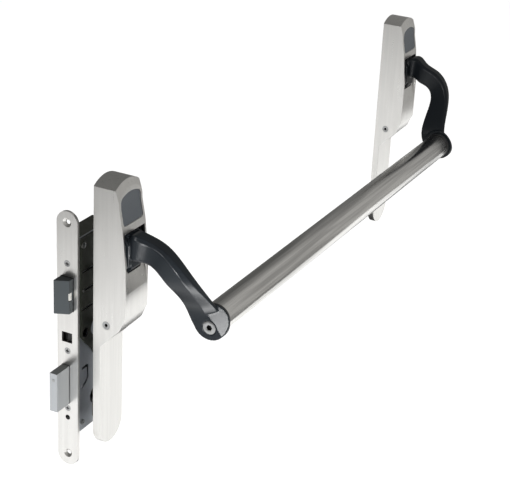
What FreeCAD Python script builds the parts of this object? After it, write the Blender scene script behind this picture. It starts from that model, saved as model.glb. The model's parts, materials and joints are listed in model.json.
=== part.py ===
import FreeCAD, Part

import math
import os
import re

import Sketcher

# Push bar exit device with its mortise lock.
# Millimetres. Origin: spindle axis on the door face. +X runs to the hinge side, +Y into the door, +Z up.

# Driving sizes. Heights are from the spindle axis, depths from the door face towards the user.
SIZES = {
    # Housings
    "housing_pitch": 627.5,  # centre to centre of the two housings
    "cover_width": 38,  # outside width of a cover
    "cover_wall": 1.6,  # side wall of a cover
    "cover_depth": 33.4,  # deepest part of a cover, off the door
    "cover_rise": 6,  # rise of the arched top over the shoulders
    "pivot_height": 85,  # arm pivot above the spindle
    "pivot_depth": 17,  # arm pivot off the door face
    "window_above": 20,  # upper edge of the arm window above the pivot
    "window_below": 19,  # lower edge of the window below the pivot
    "window_rim": 2.4,  # front left standing beside the window
    "window_corner": 7,  # chamfer of the window's lower corners
    "cap_lip": 5,  # cap's lower edge above the window
    "cap_height": 41.5,  # cap from its lower edge to the crown
    "cap_knee": 18,  # where the cap front turns, above its lower edge
    "cap_foot_depth": 29.8,  # depth of the cap at its lower edge
    "cap_knee_depth": 26.4,  # depth at the turn
    "cap_depth": 25.1,  # depth at the crown
    "brow_depth": 22.5,  # front edge of the roof, off the door
    "brow_drop": 6.2,  # fall of the crown from there to the cap front
    "front_flat": 7,  # start of the front's lean above the window's foot
    "facet_break": 48.5,  # crease between the two front facets
    "facet_sink": 2.9,  # how far the upper facet sinks towards the window
    "facet_rim": 1.4,  # edge left beside the upper facet
    "front_foot": 25.5,  # crease where the front turns to the slope
    "slope_top": 11.6,  # upper end of the steep slope
    "slope_top_depth": 27.3,  # depth there
    "slope_foot": -3.7,  # lower end of the steep slope
    "slope_foot_depth": 12.6,  # depth there
    "tongue_top": -9.5,  # where the slope meets the tongue
    "tongue_depth": 7.5,  # depth of the tongue
    "tongue_skin": 1.5,  # thickness of the tongue's face
    "tongue_drop": 116.5,  # lower end of the tongue below the spindle
    "front_wall": 2.0,  # thickness of the upper front
    "lower_front_wall": 4.9,  # thickness of the front below the window
    "slope_wall": 1.3,  # inset of the cavity at the slope, along both axes
    "cap_wall": 3.6,  # thickness of the cap front
    "roof_wall": 2.5,  # thickness of the roof
    "panel_rim": 3,  # cap left standing beside the panel
    "panel_margin": 2,  # panel above the cap's lower edge
    "panel_arch": 11,  # panel's arched top under the crown
    "panel_corner": 3,  # radius of the panel's lower corners
    "panel_shoulder": 6,  # radius of its upper corners
    "panel_sink": 0.6,  # panel face below the cap face
    "panel_thick": 1.2,  # panel thickness
    "seat_play": 0.15,  # play round an inset plate or a screw
    # Chassis of each housing
    "plate_thick": 3,  # chassis plate
    "plate_gap": 0.8,  # chassis to the cover's side wall
    "plate_margin": 13.5,  # chassis plate's upper end below the crown
    "flange_thick": 1.7,  # thickness of ears and side flanges
    "ear_depth": 26,  # reach of the ears off the door
    "ear_half": 15,  # half height of the ears
    "ear_corner": 6,  # chamfer of the ears
    "flange_depth": 18,  # reach of the lower flanges
    "screw_flange_half": 8,  # half height of the cover screw flange
    "bridge_drop": 25,  # underside of the spring bridge below the pivot
    "bridge_thick": 2,  # thickness of the spring bridge
    "bridge_reach": 4,  # how far the bridge's flanges pass the bridge
    "bridge_gap": 1.5,  # bridge to the slider's face
    "fixing_margin": 12.5,  # fixing hole from the tongue's lower end
    "fixing_bore": 2.75,  # radius of the fixing holes
    "pivot_pin": 4,  # radius of the pivot pin
    "press_play": 0.02,  # radial play of a pressed or threaded fit
    "running_play": 0.05,  # radial play of a running fit
    "pin_proud": 0.2,  # pivot pin past the ears
    "bush_wall": 2,  # wall of the pivot bush
    "screw_height": 14.2,  # height of the cover side screws
    "screw_depth": 13.6,  # depth of the cover side screws
    "screw_head": 3.9,  # head radius of the cover side screws
    "screw_shank": 2,  # shank radius of the cover side screws
    "screw_countersink": 1.3,  # height of the countersunk head
    "screw_past": 0.6,  # screw end past its flange
    "head_sink": 0.05,  # countersunk heads below their face
    "hex_key": 1.4,  # half across flats of small hexagon sockets
    # Arms and bar
    "drum_radius": 18.9,  # front drum of the arm hub
    "keel_radius": 21.8,  # drum's middle, which fills the foot of the window
    "keel_half": 8.6,  # half width of that middle
    "hub_core": 9,  # radius of the hub behind the pivot
    "hub_gap": 0.6,  # hub to the ears
    "arm_crank": 35.3,  # sideways step of the arm
    "crank_start": 0.27,  # share of the arm before it steps aside
    "crank_stop": 0.9,  # share of the arm where the step is done
    "root_reach": 13.1,  # arm's centre line starts this far out of the pivot
    "root_rise": 6.4,  # and this far above it
    "root_droop": 2.9,  # fall of the first control point
    "neck_bulge": 7,  # first control point past the bar's depth
    "neck_tuck": 12,  # second control point behind the bar
    "neck_lead": 14.6,  # and above it
    "arm_root_thick": 18.4,  # arm thickness along X at the root
    "arm_end_thick": 8.5,  # thickness of the boss
    "arm_sink": 0.2,  # arm's end below the faces of the boss
    "inner_root": 12.2,  # arm's inner edge from its centre line, at the root
    "inner_upper": 7,  # first control value of that edge
    "inner_lower": 28,  # second control value
    "ridge_root": 7.5,  # ridge of the outer face from the centre line, at the root
    "ridge_upper": 10.3,  # first control value of the ridge
    "ridge_lower": -9.5,  # second control value
    "ridge_end": 3.3,  # ridge at the boss
    "outer_root": 11,  # arm's outer edge from its centre line, at the root
    "outer_upper": 9.7,  # first control value of that edge
    "outer_lower": 0.1,  # second control value
    "slope_root": 2.6,  # fall of the face from ridge to outer edge, at the root
    "slope_end": 6.9,  # fall at the boss
    "boss_radius": 17.2,  # boss at the arm's end
    "boss_shoulder": 1.2,  # arm narrower than the boss, each side
    "boss_fall": 0.55,  # fall of the boss's slope for each millimetre from the ridge
    "ridge_lean": 39,  # ridge's lean on the boss, degrees from straight down
    "arm_corner": 0.15,  # chamfer of the arm's corners, share of its thickness
    "bar_depth": 91,  # bar axis off the door face
    "bar_height": 16.4,  # bar axis above the spindle
    "bar_radius": 14,  # outside radius of the tube
    "bar_wall": 1.5,  # wall of the tube
    "collar_length": 5.5,  # length of a bar collar
    "collar_proud": 0.3,  # collar over the tube
    "plug_reach": 22,  # how far a plug enters the tube
    "plug_spigot": 9,  # radius of the plug's spigot in the arm
    "spigot_length": 2.5,  # length of that spigot
    "spigot_end_play": 0.3,  # spigot short of its seat's floor
    "clamp_head": 6.5,  # head radius of the arm screw
    "clamp_drop": 4.7,  # arm screw below the bar axis
    "clamp_head_deep": 3.5,  # depth of that head's seat
    "clamp_sink": 0.3,  # head below the boss's face
    "clamp_shank": 3,  # shank radius of the arm screw
    "clamp_length": 30,  # length of its shank
    "clamp_key": 2.5,  # half across flats of its hexagon socket
    "clamp_key_deep": 2,  # depth of that socket
    # Lift slider, drive and return
    "finger_reach": 11.4,  # hub finger's tip centre from the pivot
    "finger_round": 2.2,  # radius of the finger's tip
    "finger_neck": 2,  # half height of the finger's neck
    "finger_half": 2.8,  # half width of the finger
    "finger_side_play": 0.6,  # finger to the sides of its window
    "slider_gap": 0.5,  # slider to the chassis plate
    "slider_thick": 3,  # slider thickness
    "slider_half": 6.5,  # half width of the slider
    "slider_over": 10,  # slider's upper end above the pivot
    "spring_room": 30,  # length of the return spring at rest
    "shelf_thick": 2,  # thickness of the slider's shelf
    "shelf_half": 4.6,  # half width of the shelf
    "slot_play": 0.3,  # play of a pin in its slot
    "leg_gap": 0.8,  # drive leg to the flange
    "boss_gap": 0.9,  # drive leg to the spindle boss
    "leg_below": 7,  # lower end of the drive leg below the spindle
    "leg_overlap": 7,  # height of the knee over the shelf's underside
    "crank_radius": 10,  # spindle axis to the drive pin
    "half_turn_angle": 14.03,  # half of the spindle's turn, degrees
    "drive_pin": 1.5,  # radius of the drive pin
    "eye_wall": 1,  # metal round the drive pin
    "lever_gap": 0.3,  # spindle lever to the slider
    "lever_thick": 1.6,  # thickness of the spindle lever
    "spindle_boss": 6.4,  # radius of the spindle boss
    "spindle_square": 8,  # spindle across flats
    "square_play": 0.1,  # play of the square
    "spindle_boss_back": 1.5,  # boss past the door face
    "bush_outer": 8,  # outer radius of the spindle bush
    "coil_gap": 2.6,  # coil to the slider's face
    "coil_radius": 3.4,  # mean radius of the return spring
    "coil_wire": 0.5,  # wire radius of the return spring
    "coil_turns": 7,  # turns of the return spring
    "seat_touch": 0.02,  # spring end off its seat
    "spigot_radius": 2.2,  # spring spigots
    "spigot_high": 4,  # height of a spring spigot
    "bolt_rise": 50,  # upper through bolt above the spindle
    "bolt_drop": 24,  # lower through bolt below the spindle
    "bolt_side_gap": 0.3,  # through bolt's head to the slider
    "bolt_shank": 2.5,  # radius of the through bolts
    "bolt_head": 4.7,  # head radius of the through bolts
    "bolt_head_deep": 2.6,  # head height of the through bolts
    "bolt_play": 0.25,  # play of the bolts in plates
    "bolt_short": 4,  # bolt end short of the case's far side
    # Lock
    "backset": 30.5,  # forend face to the spindle axis
    "forend_thick": 3,  # thickness of the forend
    "door_skin": 9,  # door face to the forend's near edge
    "forend_width": 22,  # width of the forend
    "forend_rise": 120.8,  # upper end of the forend above the spindle
    "forend_drop": 136,  # lower end of the forend below the spindle
    "top_screw_inset": 10.6,  # upper forend screw from that end
    "foot_screw_inset": 12.2,  # lower forend screw from that end
    "door_screw_seat": 4.35,  # radius of the countersinks for the door screws
    "door_screw_bore": 2.25,  # radius of their bores
    "door_screw_sink": 1.7,  # depth of the countersinks
    "case_fixing_head": 3.2,  # head radius of the screws that hold the case
    "case_fixing_shank": 1.5,  # their shank radius
    "case_fixing_sink": 1.6,  # height of their countersunk heads
    "case_fixing_past": 1,  # their ends past the case's sheet
    "case_fixing_top": 71,  # upper one above the spindle
    "case_fixing_mid": -16,  # middle one
    "case_fixing_foot": -75.5,  # lower one
    "recess_half": 0.45,  # half width of a cross recess
    "recess_reach": 1.7,  # half span of a cross recess
    "recess_deep": 1.1,  # depth of a cross recess
    "cylinder_drop": 72,  # cylinder axis below the spindle
    "cylinder_round": 8.75,  # radius of the cylinder's round part
    "cylinder_slot": 5.25,  # half width of the cylinder's lower part
    "cylinder_stem": 24.5,  # cylinder opening below its axis
    "cylinder_screw_fall": 13.4,  # cylinder screw hole below the cylinder's axis
    "cylinder_screw": 2.5,  # radius of that hole
    "case_margin": 1,  # case inside the forend's edges
    "case_sheet": 1.2,  # sheet of the case
    "case_far": 24,  # case edge past the spindle axis
    "case_rise": 96,  # upper end of the case above the spindle
    "case_drop": 100,  # lower end of the case below the spindle
    "shield_thick": 1,  # thickness of the dark upper plate
    "shield_rim": 1,  # bare case left round the upper plate
    "shield_drop": 27,  # lower end of the upper plate below the spindle
    "recess_out": 17.5,  # round recess beside the spindle
    "recess_radius": 4.6,  # radius of that recess
    "vent_from": 24,  # slots start beside the spindle axis
    "vent_short": 3.5,  # middle slot shorter by
    "stud_gap": 2.5,  # rivet of the dark plate, inside the slots' start
    "stud_radius": 1.1,  # radius of that rivet
    "stud_high": 0.5,  # rivet proud of the dark plate
    "vent_to": 5,  # and end
    "vent_half": 1,  # half width of a slot
    "vent_first": 24.6,  # lowest slot above the spindle
    "vent_pitch": 18.6,  # from slot to slot
    "post_radius": 3.5,  # radius of the case posts
    "post_inset": 6,  # corner posts from the case's sides
    "post_end_inset": 8,  # corner posts from the case's ends
    "case_screw": 1.5,  # radius of the case screws
    "case_screw_head": 2.9,  # head radius of the case screws
    "case_screw_high": 1.1,  # head height of the case screws
    "case_screw_long": 10,  # case screw end short of the far side
    "trunnion": 8,  # radius of the follower's bearings
    "follower_hub": 10,  # radius of the follower's hub
    "hub_end_play": 0.2,  # follower hub to the plates
    "layer_gap": 0.8,  # lever layer to the case plate
    "layer_thick": 4,  # thickness of the lever layer
    "second_layer_gap": 1,  # second lever layer past the first
    "second_layer_thick": 3,  # thickness of the second layer
    "latch_arm": 24.75,  # follower's latch arm radius
    "arm_tip": 2.5,  # tip radius of the latch arm
    "web_half": 1.7,  # half width of the latch arm's web
    "bolt_arm": 13.5,  # follower's deadbolt arm radius
    "low_web_half": 3.2,  # half width of that arm
    "crank_pin": 1.8,  # follower pin that drives the deadbolt lever
    "crank_eye": 1.7,  # metal round that pin
    "lug_foot": 21.5,  # lower end of the latch tail's lug
    "latch_wide": 13,  # width of the latch
    "latch_foot": 25,  # lower side of the latch
    "latch_tall": 33,  # height of the latch
    "latch_out": 12,  # latch throw
    "latch_rear": 20,  # rear of the latch head to the spindle axis
    "latch_bevel": 12,  # bevel of the latch across
    "latch_bevel_long": 5.7,  # and along the throw
    "tail_foot": 29,  # lower side of the latch tail
    "tail_tall": 6,  # height of the latch tail
    "tail_end": 1.5,  # latch tail past the spindle axis
    "tail_thick": 4,  # thickness of the latch tail
    "contact_gap": 0.25,  # latch arm to the lug
    "bolt_gap": 0.4,  # play of a bolt in the forend
    "roller_radius": 2.6,  # latch roller
    "roller_tall": 7,  # height of the roller
    "roller_back": 8.3,  # roller axis behind the latch's face
    "roller_in": 2.4,  # roller axis inside the latch's near side
    "roller_play": 0.3,  # roller to its pocket
    "axle_radius": 1,  # roller axle
    "axle_inset": 4,  # axle end from the latch's ends
    "dead_wide": 8,  # thickness of the deadbolt
    "dead_offset": 1.8,  # deadbolt past the forend's middle
    "dead_top": -31,  # upper side of the deadbolt
    "dead_tall": 39,  # height of the deadbolt
    "dead_out": 20,  # deadbolt throw
    "dead_rear": 29.5,  # rear of the deadbolt head to the spindle axis
    "dead_pin": 1.6,  # hardened pin radius
    "dead_pin_drop": 7,  # hardened pin below the deadbolt's top
    "dead_pin_long": 16,  # length of the hardened pin
    "dead_tail_inset": 2,  # deadbolt tail below the head's top
    "dead_tail_tall": 25,  # height of the deadbolt tail
    "dead_tail_end": 4,  # end of the deadbolt tail to the spindle axis
    "dead_lug_half": 5.5,  # half length of the tail's lug
    "dead_lug_tall": 6,  # height of the lug
    "dead_lug_rise": 0.5,  # lug above the tail's underside
    "rocker_drop": 23,  # pivot of the deadbolt lever below the spindle
    "rocker_arm": 31.85,  # lower arm of the deadbolt lever
    "rocker_rest": 18.27,  # deadbolt lever's lean at rest, degrees
    "rocker_hub": 5.6,  # radius of the lever's hub
    "rocker_pin": 3,  # pivot pin of the deadbolt lever
    "rocker_tip": 2.2,  # tip radius of the deadbolt lever
    "rocker_tip_half": 1.5,  # half width of the lever near its tip
    "rocker_root_half": 4.5,  # half width of the lever at its pivot
    "fork_half": 4.3,  # half width of the lever's fork
    "fork_root": 6.6,  # bottom of the fork's slot above its pivot
    "fork_top": 12,  # upper end of the fork above its pivot
    "trigger_recess": 2,  # trigger face behind the forend face
    "trigger_top": 2.1,  # upper side of the trigger
    "trigger_tall": 9.2,  # height of the trigger
    "trigger_offset": 0.5,  # trigger past the forend's middle
    "trigger_wide": 10.2,  # width of the trigger
    "trigger_long": 10.5,  # length of the trigger
    "trigger_nose": 2.5,  # bevel of the trigger's nose
    "guide_radius": 1.5,  # trigger guide rod
    "guide_play": 0.09,  # guide in its bore
    "guide_bore": 6,  # depth of the bore
    "guide_entry": 1.5,  # guide inside the trigger at rest
    "guide_stand": 4,  # bracket behind the trigger
    "guide_foot_half": 2.5,  # half height of the bracket
}

# Places worked out from the sizes.
PLACES = {
    "window_top": "pivot_height + window_above",
    "window_foot": "pivot_height - window_below",
    "cap_foot": "window_top + cap_lip",
    "cover_crown": "cap_foot + cap_height",
    "crown_radius": "(cover_width * cover_width / 4 + cover_rise * cover_rise) / (2 * cover_rise)",
    "crown_axis": "cover_crown - crown_radius",
    "brow_fall": "brow_drop * (cap_knee_depth - brow_depth) / (cap_depth - brow_depth)",
    "knee_height": "cap_foot + cap_knee",
    "front_lean": "window_foot + front_flat",
    "cavity_half": "cover_width / 2 - cover_wall",
    "window_half": "cover_width / 2 - window_rim",
    "tongue_foot": "-tongue_drop",
    "toe_height": "cover_width / 2 - tongue_drop",
    "panel_half": "cover_width / 2 - panel_rim",
    "panel_foot": "cap_foot + panel_margin",
    "panel_axis": "crown_axis - panel_arch",
    "shoulder_reach": "panel_half - panel_shoulder",
    "shoulder_turn": "shoulder_reach / (crown_radius - panel_shoulder)",
    "shoulder_height": "panel_axis + sqrt((crown_radius - panel_shoulder)^2 - shoulder_reach^2)",
    "plate_half": "cavity_half - plate_gap",
    "plate_top": "cover_crown - plate_margin",
    "ear_foot": "pivot_height - ear_half",
    "ear_top": "pivot_height + ear_half",
    "bridge_foot": "pivot_height - bridge_drop",
    "bridge_top": "bridge_foot + bridge_thick",
    "fixing_half": "tongue_drop - fixing_margin",
    "hub_half": "plate_half - flange_thick - hub_gap",
    "boss_half": "arm_end_thick / 2",
    "collar_radius": "bar_radius + collar_proud",
    "bar_bore": "bar_radius - bar_wall",
    "slider_back": "plate_thick + slider_gap",
    "slider_front": "slider_back + slider_thick",
    "slider_top": "pivot_height + slider_over",
    "shelf_top": "bridge_foot - spring_room",
    "slider_foot": "shelf_top - shelf_thick",
    "coil_depth": "slider_front + coil_gap + coil_radius + coil_wire",
    "shelf_depth": "coil_depth + coil_radius + coil_wire + 0.7",
    "leg_outer": "plate_half - flange_thick - leg_gap",
    "leg_inner": "spindle_boss + boss_gap",
    "lever_back": "slider_front + lever_gap",
    "lever_front": "lever_back + lever_thick",
    "bolt_out": "slider_half + bolt_head + bolt_side_gap",
    "forend_mid": "door_skin + forend_width / 2",
    "forend_far": "door_skin + forend_width",
    "forend_back": "-(backset - forend_thick)",
    "top_screw": "forend_rise - top_screw_inset",
    "foot_screw": "foot_screw_inset - forend_drop",
    "cylinder_screw_height": "-(cylinder_drop + cylinder_screw_fall)",
    "cylinder_toe": "cylinder_slot - cylinder_drop - cylinder_stem",
    "case_front": "door_skin + case_margin",
    "case_back": "forend_far - case_margin",
    "room_front": "case_front + case_sheet",
    "room_back": "case_back - case_sheet",
    "near_layer": "room_front + layer_gap",
    "far_layer": "near_layer + layer_thick",
    "second_near": "far_layer + second_layer_gap",
    "second_far": "second_near + second_layer_thick",
    "low_pin_x": "bolt_arm * sin(half_turn_angle)",
    "low_pin_z": "-bolt_arm * cos(half_turn_angle)",
    "latch_near": "forend_mid - latch_wide / 2",
    "latch_far": "forend_mid + latch_wide / 2",
    "latch_top": "latch_foot + latch_tall",
    "latch_face": "-(backset + latch_out)",
    "latch_tail_top": "tail_foot + tail_tall",
    "roller_x": "latch_face + roller_back",
    "roller_y": "latch_near + roller_in",
    "roller_foot": "latch_foot + (latch_tall - roller_tall) / 2",
    "roller_top": "roller_foot + roller_tall",
    "dead_near": "forend_mid + dead_offset - dead_wide / 2",
    "dead_far": "forend_mid + dead_offset + dead_wide / 2",
    "dead_foot": "dead_top - dead_tall",
    "dead_face": "-(backset + dead_out)",
    "dead_tail_top": "dead_top - dead_tail_inset",
    "dead_tail_foot": "dead_tail_top - dead_tail_tall",
    "rocker_height": "-rocker_drop",
    "trigger_mid": "forend_mid + trigger_offset",
    "trigger_near": "trigger_mid - trigger_wide / 2",
    "trigger_far": "trigger_mid + trigger_wide / 2",
    "trigger_foot": "trigger_top - trigger_tall",
    "trigger_axis": "trigger_top - trigger_tall / 2",
    "trigger_face": "-(backset - trigger_recess)",
    "trigger_rear": "trigger_face + trigger_long",
    "pin_x": "-crank_radius * cos(half_turn_angle)",
    "pin_z": "-crank_radius * sin(half_turn_angle)",
}

doc = FreeCAD.newDocument("PanicBar")
sheet = doc.addObject("Spreadsheet::Sheet", "Sizes")
for line, (name, value) in enumerate(SIZES.items(), 1):
    sheet.set("A%d" % line, str(value))
    sheet.setAlias("A%d" % line, name)
doc.recompute()

WORD = re.compile(r"[a-z][a-z_]+")
CLEAR = 20  # how far cutting tools pass the outside


def val(name):
    """Reads one size back from the sheet."""
    return float(sheet.get(name))


def linked(text):
    """Turns the names in an expression into references to the sheet."""

    def swap(found):
        word = found.group(0)
        if word in PLACES:
            return "(" + linked(PLACES[word]) + ")"
        return "Sizes." + word if word in SIZES else word

    return WORD.sub(swap, str(text))


def bind(thing, prop, text):
    """Ties a property to an expression of sizes."""
    thing.setExpression(prop, linked(text))


def prism(name, plane, points, low, high):
    """A straight-sided outline on XY, XZ or YZ, padded between two places on the third axis."""
    body = doc.addObject("PartDesign::Body", name)
    sketch = body.newObject("Sketcher::SketchObject", name + "_outline")
    flat = [item for item in body.Origin.OriginFeatures if item.Role == plane + "_Plane"][0]
    sketch.AttachmentSupport = [(flat, "")]
    sketch.MapMode = "FlatFace"
    count = len(points)
    start = []
    for index in range(count):
        angle = 2 * math.pi * index / count
        start.append(FreeCAD.Vector(10 * math.cos(angle), 10 * math.sin(angle), 0))
    for index in range(count):
        sketch.addGeometry(Part.LineSegment(start[index], start[(index + 1) % count]), False)
    for index in range(count):
        sketch.addConstraint(Sketcher.Constraint("Coincident", index, 2, (index + 1) % count, 1))
    for index, (across, up) in enumerate(points):
        for kind, text in (("DistanceX", across), ("DistanceY", up)):
            here = start[index].x if kind == "DistanceX" else start[index].y
            number = sketch.addConstraint(Sketcher.Constraint(kind, -1, 1, index, 1, here))
            sketch.setExpression("Constraints[%d]" % number, linked(text))
    # The XZ plane looks along -Y, so its pad starts at the high end.
    offset = "-(%s)" % high if plane == "XZ" else low
    bind(sketch, "AttachmentOffset.Base.z", offset)
    pad = body.newObject("PartDesign::Pad", name + "_pad")
    pad.Profile = sketch
    bind(pad, "Length", "(%s) - (%s)" % (high, low))
    return body


def box(name, left, right, near, far, foot, top):
    """A block between three pairs of places."""
    made = doc.addObject("Part::Box", name)
    bind(made, "Length", "(%s) - (%s)" % (right, left))
    bind(made, "Width", "(%s) - (%s)" % (far, near))
    bind(made, "Height", "(%s) - (%s)" % (top, foot))
    bind(made, "Placement.Base.x", left)
    bind(made, "Placement.Base.y", near)
    bind(made, "Placement.Base.z", foot)
    return made


TURN = {
    "X": FreeCAD.Rotation(FreeCAD.Vector(0, 1, 0), 90),
    "Y": FreeCAD.Rotation(FreeCAD.Vector(1, 0, 0), -90),
    "Z": FreeCAD.Rotation(FreeCAD.Vector(0, 0, 1), 0),
}


def settle(made, axis, first, second, low):
    """Lays a round solid along an axis, its centre at two places on the other axes."""
    made.Placement = FreeCAD.Placement(FreeCAD.Vector(0, 0, 0), TURN[axis])
    order = {"X": "yzx", "Y": "xzy", "Z": "xyz"}[axis]
    for letter, text in zip(order, (first, second, low)):
        bind(made, "Placement.Base." + letter, text)


def rod(name, axis, first, second, radius, low, high):
    """A round bar along an axis."""
    made = doc.addObject("Part::Cylinder", name)
    bind(made, "Radius", radius)
    bind(made, "Height", "(%s) - (%s)" % (high, low))
    settle(made, axis, first, second, low)
    return made


def taper(name, axis, first, second, radius_low, radius_high, low, high):
    """A cone along an axis."""
    made = doc.addObject("Part::Cone", name)
    bind(made, "Radius1", radius_low)
    bind(made, "Radius2", radius_high)
    bind(made, "Height", "(%s) - (%s)" % (high, low))
    settle(made, axis, first, second, low)
    return made


def join(name, *things):
    """One solid, or one group of loose solids, from several."""
    made = doc.addObject("Part::MultiFuse", name)
    made.Shapes = list(things)
    made.Refine = True
    return made


def cut(name, base, *tools):
    """Takes tools away from a base."""
    made = doc.addObject("Part::Cut", name)
    made.Base = base
    made.Tool = tools[0] if len(tools) == 1 else join(name + "_tools", *tools)
    made.Refine = True
    return made


def common(name, first, second):
    """What two solids share."""
    made = doc.addObject("Part::Common", name)
    made.Base = first
    made.Tool = second
    made.Refine = True
    return made


def hexagon(name, axis, first, second, flat, low, high):
    """A six-sided prism along X or Y, flats above and below."""
    plane = {"X": "YZ", "Y": "XZ"}[axis]
    points = []
    for index in range(6):
        angle = 60 * index
        across = "(%s) + (%s) * %.6f" % (first, flat, 2 / math.sqrt(3) * math.cos(math.radians(angle)))
        up = "(%s) + (%s) * %.6f" % (second, flat, 2 / math.sqrt(3) * math.sin(math.radians(angle)))
        points.append((across, up))
    return prism(name, plane, points, low, high)


NODES = []


def node(label, thing):
    """Names a finished piece."""
    thing.Label = label
    NODES.append(thing)
    return thing


# Covers


def cover_profile(name, sink, low, high):
    """The front line of the cap, set back by a depth, as a slab that reaches far out of the front."""
    outside = "-(cover_depth + %g)" % CLEAR
    points = [
        (outside, "cap_foot"),
        ("-(cap_foot_depth - %s)" % sink, "cap_foot"),
        ("-(cap_knee_depth - %s)" % sink, "knee_height"),
        ("-(cap_depth - %s)" % sink, "cover_crown"),
        (outside, "cover_crown"),
    ]
    return prism(name, "YZ", points, low, high)


def crown_shape(name, centre, half, sink, far):
    """The arched roof with its sloping brow, set in by a depth."""
    roof = rod(name + "_roof", "Y", centre, "crown_axis", "crown_radius - " + sink, "-brow_depth", far)
    brow = taper(name + "_brow", "Y", centre, "crown_axis", "crown_radius - brow_fall - " + sink,
                 "crown_radius - " + sink, "-cap_knee_depth", "-brow_depth")
    around = box(name + "_around", "%s - %s" % (centre, half), "%s + %s" % (centre, half),
                 "-cap_knee_depth", far, "cap_foot", "cover_crown")
    return common(name, join(name + "_dome", roof, brow), around)


def panel_shape(name, centre, play):
    """The panel's outline: round corners and a top that follows the crown."""
    half = "(panel_half - %s)" % play
    foot = "(panel_foot + %s)" % play
    reach = "%s - (%s - panel_corner)" % (centre, half)
    stop = "%s + (%s - panel_corner)" % (centre, half)
    parts = [
        box(name + "_wide", "%s - %s" % (centre, half), "%s + %s" % (centre, half), "-50", "-10",
            foot + " + panel_corner", "shoulder_height"),
        box(name + "_low", reach, stop, "-50", "-10", foot, foot + " + panel_corner + 1"),
        rod(name + "_left", "Y", reach, foot + " + panel_corner", "panel_corner", "-50", "-10"),
        rod(name + "_right", "Y", stop, foot + " + panel_corner", "panel_corner", "-50", "-10"),
    ]
    arch = "(crown_radius - %s)" % play
    middle = box(name + "_middle", "%s - shoulder_turn * %s" % (centre, arch),
                 "%s + shoulder_turn * %s" % (centre, arch), "-50", "-10", foot + " + panel_corner",
                 "cover_crown")
    top = rod(name + "_top", "Y", centre, "panel_axis", arch, "-51", "-9")
    parts.append(common(name + "_arch", middle, top))
    for sign, mark in (("-", "left"), ("+", "right")):
        parts.append(rod("%s_shoulder_%s" % (name, mark), "Y", "%s %s shoulder_reach" % (centre, sign),
                         "shoulder_height", "panel_shoulder - " + play, "-50", "-10"))
    return join(name, *parts)


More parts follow.
